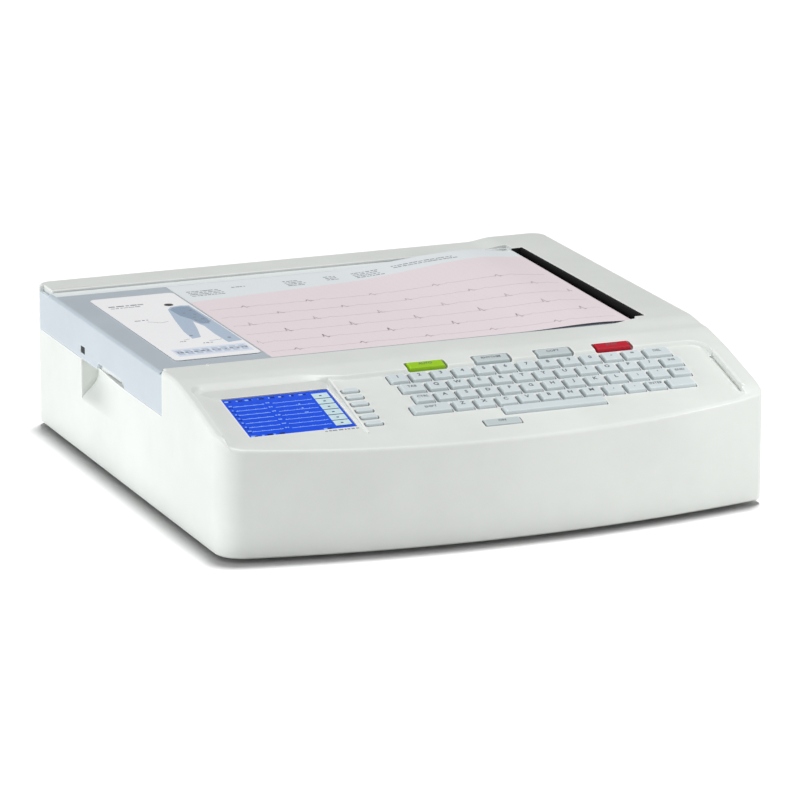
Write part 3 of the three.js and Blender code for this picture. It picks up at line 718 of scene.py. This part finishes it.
def finger_scoop():
    """A soft trough along Y: bell-shaped in section, deepening steadily to a flat rear end."""
    depth = SCOOP.x + SCOOP.radius + HALF_WIDTH
    low, high = SCOOP.z - SCOOP.reach, SCOOP.z + SCOOP.reach
    rings = []
    for t in np.linspace(0, 1, 17):
        share, y = t**1.7, SCOOP.front + (SCOOP.rear - SCOOP.front) * t
        mouth = 0.05 - HALF_WIDTH - 0.1 * (1 - share)
        ring = []
        for s in np.linspace(1, -1, 41):
            bell = (1 - s**2) ** 1.6
            ring.append((mouth + depth * share * bell, y, SCOOP.z + SCOOP.reach * s))
        rings.append(ring + [(SCOOP.x, y, low), (SCOOP.x, y, high)])
    return stack(rings)


def cut_bay(shell):
    """The paper bay, its slot, the opening for the cover's skirt, the finger recess and a rear seam."""
    bay = (-230, BAY.right, BAY.front, BAY.rear, BAY.corner, BAY.floor)
    cut(shell, flared_box(*bay, TOP_Z + 0.01, BAY_BEVEL))
    slot = (BAY.right - 3, SLOT.right, SLOT.front, SLOT.rear, SLOT.corner, BAY.floor)
    cut(shell, flared_box(*slot, TOP_Z + BLOCK_RISE + 0.01, BAY_BEVEL))
    inner, bottom = -HALF_WIDTH + WALL + GAP, SKIRT.bottom - GAP
    cut(shell, plain_box(-200, inner, SKIRT.front - GAP, SKIRT.rear + GAP, bottom, 120))
    cut(shell, finger_scoop())
    cut(shell, plain_box(-200, -163, 179.4, 180.4, 103.4, 108))


def cut_deck(shell):
    """The groove right of the keys, the screen's rib, a nib behind it, and the screen's and keys' holes."""
    cut(shell, column(rounded_rectangle(*GROOVE.plan), -GROOVE.depth, 8), DECK_MATRIX)
    add(shell, soft_slab(*RIB.plan, RIB.bottom, RIB.top, 0.6), DECK_MATRIX)
    add(shell, column(circle(-163.5, -62.6, 0.9, 16), 103, 105.5))
    window = (LCD.left - GAP, LCD.right + GAP, LCD.front - GAP, LCD.rear + GAP, 0.6)
    cut(shell, flared_box(*window, -10, 0, 0.01), DECK_MATRIX)
    cut(shell, merge([key_hole(k) for keys, _, _ in KEY_BODIES.values() for k in keys]), DECK_MATRIX)


def housing():
    shell = new_object("housing_shell", *outer_skin())
    boolean(shell, inner_space(), "DIFFERENCE")
    for part in fittings():
        fitting = overlap(new_object("fitting", *part), column(body_plan(1), BODY_BOTTOM, ABOVE_ALL))
        boolean(shell, fitting, "UNION")
    cut_bay(shell)
    cut_deck(shell)
    cut(shell, merge([column(circle(x, y, BOSS.hole), 0, BOSS.hole_top) for x, y in BOSSES]))
    sockets = []
    for x0, x1, z0, z1 in SOCKETS.values():
        sockets.append(plain_box(x0 - GAP, x1 + GAP, 195, 210, z0 - GAP, z1 + GAP))
    cut(shell, merge(sockets))
    finish_piece(shell, "housing", "housing_plastic", "shell", "top_housing", angle=34)
    keep_side_flat(shell)


def housing_trim():
    """The raised bead at the pocket's right edge, and a matt black pad in the slot's rear end: painted shade
    for the slot's dark depth.
    """
    bead = soft_slab(*BEAD.plan, BEAD.bottom, BEAD.top, 0.9)
    bead = new_object("keyboard_edge_bead", *bead, DECK_MATRIX)
    finish_piece(bead, "housing", "housing_plastic", "shell")
    # This matt black pad is painted shade for the dark end of the slot.
    pad = new_object("slot_end_shade_pad", *soft_box(*SLOT_SHADE_PAD, 0.2))
    finish_piece(pad, "housing", "black_rubber", "matt_black_and_shade")


# ---- keys
# A key's middle across and up the deck, its size, and how far it stands off the deck.
Key = namedtuple("Key", "u v width depth top")


def unit_spans(first, count, start, end):
    """Keys one pitch wide from first, a wider one after them, and one before them unless start is None."""
    spans = [(first + i, first + i + 1) for i in range(count)]
    if start is not None:
        spans.insert(0, (start, first))
    return spans + [(first + count, end)]


def key_row(index, spans):
    v = KEY.first_row - KEY.row_pitch * index
    keys = []
    for a, b in spans:
        u, width = KEY.left + KEY.pitch * (a + b) / 2, KEY.pitch * (b - a) - KEY.gap
        keys.append(Key(u, v, width, KEY.depth, KEY.top))
    return keys


KEY_BODIES = {
    "key_row_numbers": (key_row(0, unit_spans(0, 12, None, 13.35)), "key", "1 2 3 4 5 6 7 8 9 0 - = DEL"),
    "key_row_upper": (key_row(1, unit_spans(1.43, 11, 0.2, 13.53)), "key", "TAB Q W E R T Y U I O P / INS"),
    "key_row_middle": (key_row(2, unit_spans(1.47, 11, 0.45, 13.5)), "key", "CTRL A S D F G H J K L ; ' END"),
    "key_row_lower": (key_row(3, unit_spans(1.93, 10, 0, 13.3)), "key", "SHIFT Z X C V B N M , . ENTER"),
    "key_green_auto": ([Key(-21, 80.4, 27.4, 10, 3)], "green", "AUTO"),
    "key_grey_rhythm": ([Key(27.6, 80.4, 26, 10, 2.6)], "grey_key", "RHYTHM"),
    "key_grey_copy": ([Key(73.8, 80.4, 26, 10, 2.6)], "grey_key", "COPY"),
    "key_red_stop": ([Key(118.2, 80.4, 26.4, 10, 3)], "red", "STOP"),
    "space_bar": ([Key(47, 12.1, 74.6, 9.4, KEY.top)], "key", ""),
    "power_key": ([Key(3.5, -0.9, 26, 8.4, 0.8)], "grey_key", "ON"),
}
for number in range(6):
    KEY_BODIES[f"soft_key_{number + 1}"] = ([Key(-84.4, 59 - 9.1 * number, 12.6, 5.6, 1.6)], "key", "")
KEY_SLOTS = {"key": "key_rubber", "green": "green_key", "red": "red_key", "grey_key": "grey_key"}


def key_corner(key):
    return min(key.depth * 0.46, 2.6) if key.depth < 6 else 1.3


def key_box(key, across=0.0, along=0.0):
    """The key's x and y limits on the deck, let out by a clearance each way."""
    dx, dy = key.width / 2, key.depth / 2
    return key.u - dx - across, key.u + dx + across, key.v - dy - along, key.v + dy + along


def key_hole(key):
    plan = key_box(key, KEY_HOLE.side, GAP)
    return flared_box(*plan, key_corner(key) + GAP, KEY_HOLE.bottom, 0.02, KEY_HOLE.bevel)


def key_cap(key):
    """A cap with straight sides in its hole, drafted sides above the deck, a soft rim and a shallow dish."""
    def ring(w, inset):
        return [(x, y, w) for x, y in rounded_rectangle(*key_box(key), key_corner(key), inset, 4)]

    rim = min(0.7, key.top * 0.4)
    side = 0.3 * key.top
    rings = [ring(-8.5, 0), ring(0, 0), ring(key.top - rim, side)]
    rings += [ring(key.top - drop, side + inset) for inset, drop in quarter_round(rim, 4, 1)]
    return stack(rings + [ring(key.top - 0.12, side + rim + 0.9)])


def text_part(text, size, u, v, w):
    """Flat raised lettering centred on a place, as points and faces."""
    curve = bpy.data.curves.new("lettering", "FONT")
    curve.body = text
    curve.size = size
    curve.align_x = "CENTER"
    curve.align_y = "CENTER"
    curve.resolution_u = 2
    curve.offset = 0.12 if len(text) == 1 else 0.05
    curve.extrude = 0.03
    holder = in_scene("lettering", curve)
    mesh = bpy.data.meshes.new_from_object(holder.evaluated_get(bpy.context.evaluated_depsgraph_get()))
    points = [(p.co.x + u, p.co.y + v, p.co.z + w) for p in mesh.vertices]
    faces = [tuple(f.vertices) for f in mesh.polygons]
    bpy.data.objects.remove(holder)
    return points, faces


def key_legend(key, text):
    size = 4.8 if len(text) == 1 else 3.6
    return text_part(text, size, key.u, key.v + 1.1, key.top - 0.1)


def key_bodies():
    """Each body's caps on one thin skirt, and its legends."""
    for name, (keys, finish, legends) in KEY_BODIES.items():
        boxes = [key_box(k, KEY_SKIRT.across, KEY_SKIRT.along) for k in keys]
        plan = (min(b[0] for b in boxes), max(b[1] for b in boxes), boxes[0][2], boxes[0][3])
        skirt = plain_box(*plan, KEY_SKIRT.bottom, KEY_SKIRT.top)
        piece = new_object(name + "_caps", *skirt, DECK_MATRIX)
        add(piece, merge([key_cap(k) for k in keys]), DECK_MATRIX)
        finish_piece(piece, name + "_body", KEY_SLOTS[finish], finish, name)
        marks = [key_legend(k, text) for k, text in zip(keys, legends.split(" ")) if text]
        if marks:
            piece = new_object(name + "_legends", *merge(marks), DECK_MATRIX)
            finish_piece(piece, name + "_body", KEY_SLOTS[finish], "legend")


# ---- writer cover
def corner_profile():
    """Section of the cover across the machine: top plate, soft left corner, and the skirt's full depth."""
    top, bottom, right, corner = COVER.top, COVER.top - COVER.plate, COVER.right, COVER.corner
    left, inner = -HALF_WIDTH, -HALF_WIDTH + COVER.skin
    return (
        [(right, bottom), (right, top - 0.5), (right - 0.5, top)]
        + arc(left + corner, top - corner, corner, QUARTER, math.pi, 8)
        + [(left, 60), (inner, 60), (inner, bottom - 0.8), (inner + 0.8, bottom)]
    )


def skirt_outline():
    """Side view of the skirt: a soft-cornered band with a shallow grip arch."""
    front, rear, bottom, grip = SKIRT.front, SKIRT.rear, SKIRT.bottom, SKIRT.grip_bottom
    eased = [(5 * t, (grip - bottom) * (3 * t * t - 2 * t**3)) for t in np.linspace(0, 1, 7)]
    rise = [(SKIRT.grip_front + run, bottom + up) for run, up in eased]
    fall = [(SKIRT.grip_rear + run, grip - up) for run, up in eased]
    step, band, above = BAY.rear - GAP, 100.4, 110
    head = [(rear, band), (step, band), (step, above), (COVER.front, above), (COVER.front, 101), (front, 101)]
    return [(front, bottom)] + rise + fall + [(rear, bottom)] + head


def cover_edge(edge, outward):
    """The Z-shaped runner under the cover's front or rear edge."""
    section = [(0, 101), (0, 94.5), (4.8, 94.5), (4.8, 92), (-2, 92), (-2, 101)]
    profile = [(edge + outward * d, z) for d, z in section]
    return prism(profile if outward < 0 else profile[::-1], -190, COVER.right - 12, "X")


def bearing(cover, y, thick, ear, bore, sides=32):
    """An ear (left, right, foot) under the cover's plate, with a bore (x, z, radius) along Y."""
    left, right, foot = ear
    add(cover, plain_box(left, right, y, y + thick, foot, 101))
    cut(cover, bar_along_y(*bore, y - 1, y + 4, sides))


def writer_cover():
    cover = new_object("cover_shell", *prism(corner_profile(), SKIRT.front, SKIRT.rear, "Y"))
    overlap(cover, prism(skirt_outline(), -HALF_WIDTH - 1, -HALF_WIDTH + COVER.skin, "X"))
    plate = new_object("plate", *prism(corner_profile(), COVER.front, COVER.rear, "Y"))
    boolean(cover, overlap(plate, plain_box(-200, 200, -100, 220, 90, 120)), "UNION")
    add(cover, cover_edge(COVER.front, -1))
    add(cover, cover_edge(COVER.rear, 1))
    platen_ear = (PLATEN.x - 6, PLATEN.x + 5, PLATEN.z - 6)
    platen_bore = (PLATEN.x, PLATEN.z, PLATEN.shaft + 0.1)
    for y in (PLATEN.front - 3.3, PLATEN.rear + 0.5):
        bearing(cover, y, 2.8, platen_ear, platen_bore)
    latch_ear, latch_bore = (-196, -189.5, 80.5), (LATCH.x, LATCH.z, LATCH.pin + 0.08)
    for y in (LATCH.front - 3, LATCH.rear + 4):
        bearing(cover, y, 2.4, latch_ear, latch_bore, 16)
    # A notch round the black pad that paints the gap's shade.
    _, x1, y0, y1, z0, z1 = NOTCH_SHADE_PAD
    cut(cover, plain_box(-199, x1 + GAP, y0 - GAP, y1 + GAP, z0 - GAP, z1 + GAP))
    finish_piece(cover, "cover", "cover_plastic", "cover_top", "writer_cover")
    keep_side_flat(cover)


def cover_trim():
    """The paler band along the cover's rear edge, and a black pad in the skirt's notch: painted shade for the
    dark gap there.
    """
    band = new_object("cover_rear_band", *soft_slab(-195.5, 150, 164.5, 175.6, 0.5, 102.5, 103.1, 0.2))
    finish_piece(band, "cover", "cover_plastic", "cover_skirt")
    # This black pad is painted shade standing for a dark gap in the skirt.
    pad = new_object("skirt_notch_shade_pad", *soft_box(*NOTCH_SHADE_PAD, 0.5))
    finish_piece(pad, "cover", "black_rubber", "rubber")


# ---- flat artwork
ON_CARD = ("cover", "card")
ON_PAGE = ("cover", "paper")
ON_SCREEN = ("housing", "screen_glass")


def artwork(name, parts, place, material, matrix=None):
    return finish_piece(new_object(name, *merge(parts), matrix), *place, material, angle=20)


def ribbon(path, width, z=0.0):
    """A thin raised line along (x, y) points."""
    rings = []
    for i, (x, y) in enumerate(path):
        ax, ay = path[max(i - 1, 0)]
        bx, by = path[min(i + 1, len(path) - 1)]
        length = math.hypot(bx - ax, by - ay) or 1.0
        nx, ny = -(by - ay) / length * width / 2, (bx - ax) / length * width / 2
        left, right, top = (x + nx, y + ny), (x - nx, y - ny), z + INK_THICK
        rings.append([(*left, z), (*right, z), (*right, top), (*left, top)])
    return stack(rings)


def blob(outline, z):
    return column(outline, z, z + INK_THICK)


def patch(x0, x1, y0, y1, z=0.0):
    return plain_box(x0, x1, y0, y1, z, z + INK_THICK)


# Place, height and width of each wave of a beat.
HEART_WAVES = [
    (0.18, 0.12, 0.03), (0.36, -0.12, 0.01), (0.39, 1.0, 0.012), (0.42, -0.28, 0.012), (0.62, 0.25, 0.045),
]


def heartbeat(t):
    """Height of one beat at share t of its length: small wave, sharp spike, broad wave."""
    return sum(height * math.exp(-(((t - at) / wide) ** 2)) for at, height, wide in HEART_WAVES)


def trace_path(x0, x1, y, beats, height, phase, steps=40):
    total = int(beats * steps)
    rises = [height * heartbeat((i / steps + phase) % 1.0) for i in range(total + 1)]
    return [(x0 + (x1 - x0) * i / total, y + rise) for i, rise in enumerate(rises)]


def mark_row(rng, x0, x1, y, height, low=1.2, high=4.5, gap=1.0, z=0.0):
    """A row of small blocks that reads as a line of print without being letters."""
    parts = []
    x = x0
    while x < x1 - low:
        wide = min(low + (high - low) * rng.random(), x1 - x)
        parts.append(patch(x, x + wide, y, y + height * (0.7 + 0.3 * rng.random()), z))
        x += wide + gap * (0.5 + rng.random())
    return parts


# The card's generic figure, its electrode dots and its leader lines, in plan.
TORSO = [
    (-135, 98), (-131, 104), (-123, 106), (-117, 104), (-116, 60), (-116, -2), (-127, -4), (-128, 20),
    (-127, 44), (-130, 60), (-134, 40), (-140, 16), (-147, 14), (-146, 34), (-141, 66),
]
CHEST = [
    (-134, 97), (-130, 102), (-123, 103), (-118.5, 101), (-118, 62), (-121, 50), (-127, 52),
    (-129, 66), (-133, 78),
]
DOTS = [
    (-122, 78), (-125, 70), (-127, 62), (-121, 64), (-119.5, 56), (-145, 22), (-122, 8),
    (-128, 84), (-121, 90),
]
LEADERS = [[(-160, 70), (-152, 64), (-146, 66)], [(-154, 12), (-149, 14)], [(-138, 4), (-128, 6)]]


def label_card():
    card = soft_slab(*CARD.plan, CARD.bottom, CARD.top, 0.12, 0.0, 2)
    card = new_object("label_card_face", *card)
    finish_piece(card, "cover", "card", "card", "label_card")
    rng = random.Random(5)
    top = CARD.top
    second, third = top + INK_THICK, top + 2 * INK_THICK
    heading = mark_row(rng, -172, -145, 118, 2.6, 2.5, 6, 0.8, top)
    heading += mark_row(rng, -172, -150, 113.5, 1.6, z=top)
    artwork("card_heading", heading, ON_CARD, "ink")
    pill = rounded_rectangle(-133, -126.5, 107.5, 114.5, 3.1)
    artwork("card_pill", [blob(pill, top)], ON_CARD, "black_ink")
    artwork("card_torso", [blob(TORSO, top)], ON_CARD, "torso_ink")
    artwork("card_chest", [blob(CHEST, second)], ON_CARD, "chest_ink")
    leads = [blob(circle(x, y, 1.3, 14), third) for x, y in DOTS]
    leads += [ribbon(path, 0.5, top) for path in LEADERS]
    for x0, x1, y in ((-168, -158, 74), (-158, -153, 8), (-144, -137, -1)):
        leads += mark_row(rng, x0, x1, y, 1.8, z=top)
    artwork("card_leads", leads, ON_CARD, "ink")
    artwork("card_band", [patch(-172, -117.5, -30, -10, top)], ON_CARD, "blue_ink")
    artwork("card_box_marks", mark_row(rng, -170, -119, -21.5, 3.2, 1.0, 2.6, 2.0, third), ON_CARD, "ink")
    boxes = [patch(-170.5 + 6.6 * i, -165.9 + 6.6 * i, -26, -14, second) for i in range(8)]
    artwork("card_boxes", boxes, ON_CARD, "box_ink")


# ---- chart page
# Where the page turns down into the slot: x, and how far it has fallen there.
PAGE_END = {155.5: 0.0, 156.6: 0.15, 157.5: 0.5, 158.2: 1.2, 158.8: 2.4, 159.1: 4.6}


def paper_lift(x, y):
    """How far the page stands off the cover: it arches up out of the slot, most at its rear edge."""
    front = 1.7 * ease(x, 70, 130) * (1 - 0.5 * ease(x, 130, 158))
    rear = 6.6 * ease(x, 10, 115) * (1 - 0.55 * ease(x, 118, 158))
    share = ease(y, -70, 180)
    return front * (1 - share) + rear * share


def page_point(x, y):
    share = np.interp(x, list(PAGE_END), list(PAGE_END.values())) / max(PAGE_END.values())
    return (x, y, PAPER.level + float(paper_lift(x, y)) * (1 - share) - share * 2.6)


def paper_page():
    across = [*np.linspace(PAPER.left, 150, 60), 152, 154, *PAGE_END]
    along = np.linspace(PAPER.front, PAPER.rear, 40)
    count = len(along)
    points = [page_point(x, y) for x in across for y in along]
    faces = []
    for i in range(len(across) - 1):
        for j in range(i * count, (i + 1) * count - 1):
            faces.append((j, j + count, j + count + 1, j + 1))
    page = new_object("chart_page", points, faces)
    skin = page.modifiers.new("thickness", "SOLIDIFY")
    skin.thickness = PAPER.thick * MM
    skin.offset = 1.0
    apply_modifiers(page)
    finish_piece(page, "cover", "paper", "chart", "paper_sheet")


def draped(part):
    """Lays flat print on the arched page."""
    points, faces = part
    level = PAPER.level + PAPER.thick + 0.02
    return [(x, y, z + level + float(paper_lift(x, y))) for x, y, z in points], faces


def page_print():
    traces = []
    for i in range(6):
        y = -38 + 25 * i
        path = trace_path(-108, 150, y, 5.3, 8.0, 0.37 * i)
        traces.append(draped(ribbon(path, 0.22)))
        spikes = [k for k in range(2, len(path)) if path[k][1] > y + 3 >= path[k - 1][1]]
        traces += [draped(ribbon(path[k - 2 : k + 4], 0.9)) for k in spikes]
    artwork("page_traces", traces, ON_PAGE, "trace")
    rng = random.Random(11)
    marks = []
    for x0, x1, rows in ((-105, -78, 4), (-70, -58, 1), (-30, -14, 4), (2, 14, 3), (24, 48, 4), (56, 108, 2)):
        for i in range(rows):
            y = 142 + 0.05 * (x0 + 105) - 4.2 * i
            marks += mark_row(rng, x0, x1 - 4 * rng.random(), y, 1.7, 1.2, 4.0, 0.8)
    artwork("page_marks", [draped(m) for m in marks], ON_PAGE, "ink")


# ---- screen
def screen_height(v):
    """Height of the display's face off the deck, v up the slope."""
    return -SCREEN_FALL * (v - WELL.front) - SCREEN_SINK


def screen_matrix():
    """Frame on the display's face, whose origin is at deck u 0 and the display's front edge."""
    origin = Matrix.Translation((0, LCD.front, screen_height(LCD.front)))
    return DECK_MATRIX @ origin @ Matrix.Rotation(-math.atan(SCREEN_FALL), 4, "X")


def screen():
    front, rear = LCD.front, LCD.rear
    profile = [(front, -7), (rear, -7), (rear, screen_height(rear)), (front, screen_height(front))]
    display = new_object("display_face", *prism(profile, LCD.left, LCD.right, "X"), DECK_MATRIX)
    finish_piece(display, *ON_SCREEN, "lcd", "lcd_window")
    left, right, tall = LCD.left + 1.5, LCD.right - 1.5, rear - front
    boxes_left = right - 11.5
    rng = random.Random(3)
    boxes, dark, pale = [], [], []
    for i in range(6):
        y = tall - 11.2 - 8.3 * i
        boxes.append(patch(boxes_left, right, y, y + 7.4))
        dark.append(patch(boxes_left, right, y - 0.9, y))
        dark.append(patch(boxes_left + 4.6, boxes_left + 6.4, y + 3.0, y + 4.2, INK_THICK))
    middle = left + (boxes_left - left) * 0.46
    second = left + (boxes_left - left) * 0.78
    for i in range(7):
        y = tall - 11.5 - 6.3 * i
        pale.append(ribbon(trace_path(left + 3, middle - 3, y, 3.5, 2.4, 0.2 * i, 30), 0.55))
        pale.append(ribbon(trace_path(middle + 3, boxes_left - 2, y, 3.2, 2.4, 0.5 + 0.2 * i, 30), 0.5))
        pale += mark_row(rng, middle - 1.5, middle + 2.2, y + 0.8, 1.5, 0.8, 1.6, 0.5)
        pale += mark_row(rng, left + 0.6, left + 3, y + 0.8, 1.4, 0.8, 1.4, 0.5)
        dark += mark_row(rng, left - 0.4, left + 2.6, y - 1.6, 1.5, 0.8, 1.6, 0.5)
        if i in (1, 2, 3):
            pale += mark_row(rng, second, second + 2.6, y + 0.8, 1.4, 0.8, 1.4, 0.5)
    rows = ((left, boxes_left - 1, tall - 4.0), (left, left + 24, 1.2), (boxes_left - 10, boxes_left, 1.2))
    for x0, x1, y in rows:
        pale += mark_row(rng, x0, x1, y, 1.8, 1.4, 5.5, 4.2)
        dark += mark_row(rng, x0 + 2.5, x1, y - 0.3, 2.2, 1.4, 4.5, 5.0, 0.06)
    matrix = screen_matrix()
    lit = [display]
    lit.append(artwork("display_boxes", boxes, ON_SCREEN, "lcd_box", matrix))
    lit.append(artwork("display_dark_marks", dark, ON_SCREEN, "lcd_dark", matrix))
    lit.append(artwork("display_traces", pale, ON_SCREEN, "lcd_line", matrix))
    for piece in lit:
        piece.visible_diffuse = False
    under = mark_row(rng, LCD.right - 24, LCD.right + 1, -3.6, 1.7, 1.4, 3.4, 0.9, SCREEN_SINK - 0.02)
    artwork("screen_edge_marks", under, ON_SCREEN, "ink", matrix)


# ---- kept CAD nodes
NODE_FINISH = {
    "shell": "base_plate paper_tray latch_lever",
    "rubber": "foot_front_left foot_front_right foot_rear_left foot_rear_right platen_roller",
    "steel": "base_screw_1 base_screw_2 base_screw_3 base_screw_4 battery_bracket writer_frame drive_motor "
    "idler_post platen_shaft latch_pin latch_spring network_port usb_port ecg_input_connector",
    "black": "lcd_module battery_pack speaker mains_inlet",
    "matt_black_and_shade": "printhead printhead_heatsink tear_bar",
    "board": "keypad_board main_board",
    "key": "keypad_mat",
    "aluminium": "power_supply rail_front rail_rear",
    "card": "paper_stack",
    "nylon": "platen_gear idler_gear",
    "brass": "motor_pinion",
}


def dress_kept_nodes():
    for finish, names in NODE_FINISH.items():
        for name in names.split():
            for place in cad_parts[name].material_slots:
                place.material = MATERIALS[finish]


# ---- floor, light, camera (metres)
def light(name, kind, place, target, strength, **settings):
    lamp = bpy.data.lights.new(name, kind)
    lamp.energy = strength
    for key, value in settings.items():
        setattr(lamp, key, value)
    holder = in_scene(name, lamp)
    holder.visible_camera = kind != "AREA"
    holder.location = place
    holder.rotation_euler = (Vector(target) - Vector(place)).to_track_quat("-Z", "Y").to_euler()
    return holder


def softbox(name, place, target, size, strength, colour=(1, 1, 1)):
    settings = {"shape": "RECTANGLE", "size": size[0], "size_y": size[1], "color": colour}
    return light(name, "AREA", place, target, strength, **settings)


def sunlight(name, place, strength, angle):
    return light(name, "SUN", place, (0, 0, 0), strength, angle=math.radians(angle))


def link_light(holder, floor, state):
    """Makes a light reach only the floor, or everything but the floor."""
    receivers = bpy.data.collections.new(holder.name + "_receivers")
    receivers.objects.link(floor)
    receivers.collection_objects[0].light_linking.link_state = state
    holder.light_linking.receiver_collection = receivers


def studio_floor():
    reach = 9000
    corners = [(-reach, -reach, 0), (reach, -reach, 0), (reach, reach, 0), (-reach, reach, 0)]
    floor = new_object("studio_floor", corners, [(0, 1, 2, 3)])
    look = Look("studio_floor")
    roughness = look.ramp(look.noise(3.0), 0.75, 0.85)
    floor.data.materials.append(look.finish({"Base Color": (0.93, 0.93, 0.93, 1), "Roughness": roughness}))
    return floor


def studio():
    """A white floor with its own light, a dim white sky, and three lights for the machine."""
    floor = studio_floor()
    world = bpy.data.worlds.new("studio")
    bpy.context.scene.world = world
    world.use_nodes = True
    sky = world.node_tree.nodes["Background"]
    sky.inputs["Color"].default_value = (1, 1, 1, 1)
    sky.inputs["Strength"].default_value = 0.24
    lights = (
        softbox("left_softbox", (-3.4, 0.3, 0.75), (0, 0, 0.05), (2.0, 1.6), 56, (0.96, 0.985, 1.0)),
        softbox("right_softbox", (0.42, -0.48, 0.26), (0.15, -0.2, 0.05), (0.12, 0.12), 0.72),
        sunlight("top_light", (0.1, -0.1, 2.0), 1.84, 25),
    )
    for light in lights:
        link_light(light, floor, "EXCLUDE")
    link_light(sunlight("floor_light", (0.22, 0.26, 2.0), 3.1, 10), floor, "INCLUDE")


def camera():
    azimuth, elevation = math.radians(-21.868), math.radians(15.003)
    level = math.cos(elevation)
    back = Vector((math.sin(azimuth) * level, -math.cos(azimuth) * level, math.sin(elevation)))
    lens = bpy.data.cameras.new("view")
    lens.lens = 263.71
    lens.sensor_width = 36.0
    lens.clip_end = 100
    holder = in_scene("view", lens)
    holder.location = (-1.47990, -3.69376, 1.11480)
    holder.rotation_euler = (-back).to_track_quat("-Z", "Y").to_euler()
    bpy.context.scene.camera = holder


housing()
housing_trim()
key_bodies()
writer_cover()
cover_trim()
label_card()
paper_page()
page_print()
screen()
dress_kept_nodes()
studio()
camera()
bpy.context.scene.view_settings.view_transform = "Standard"
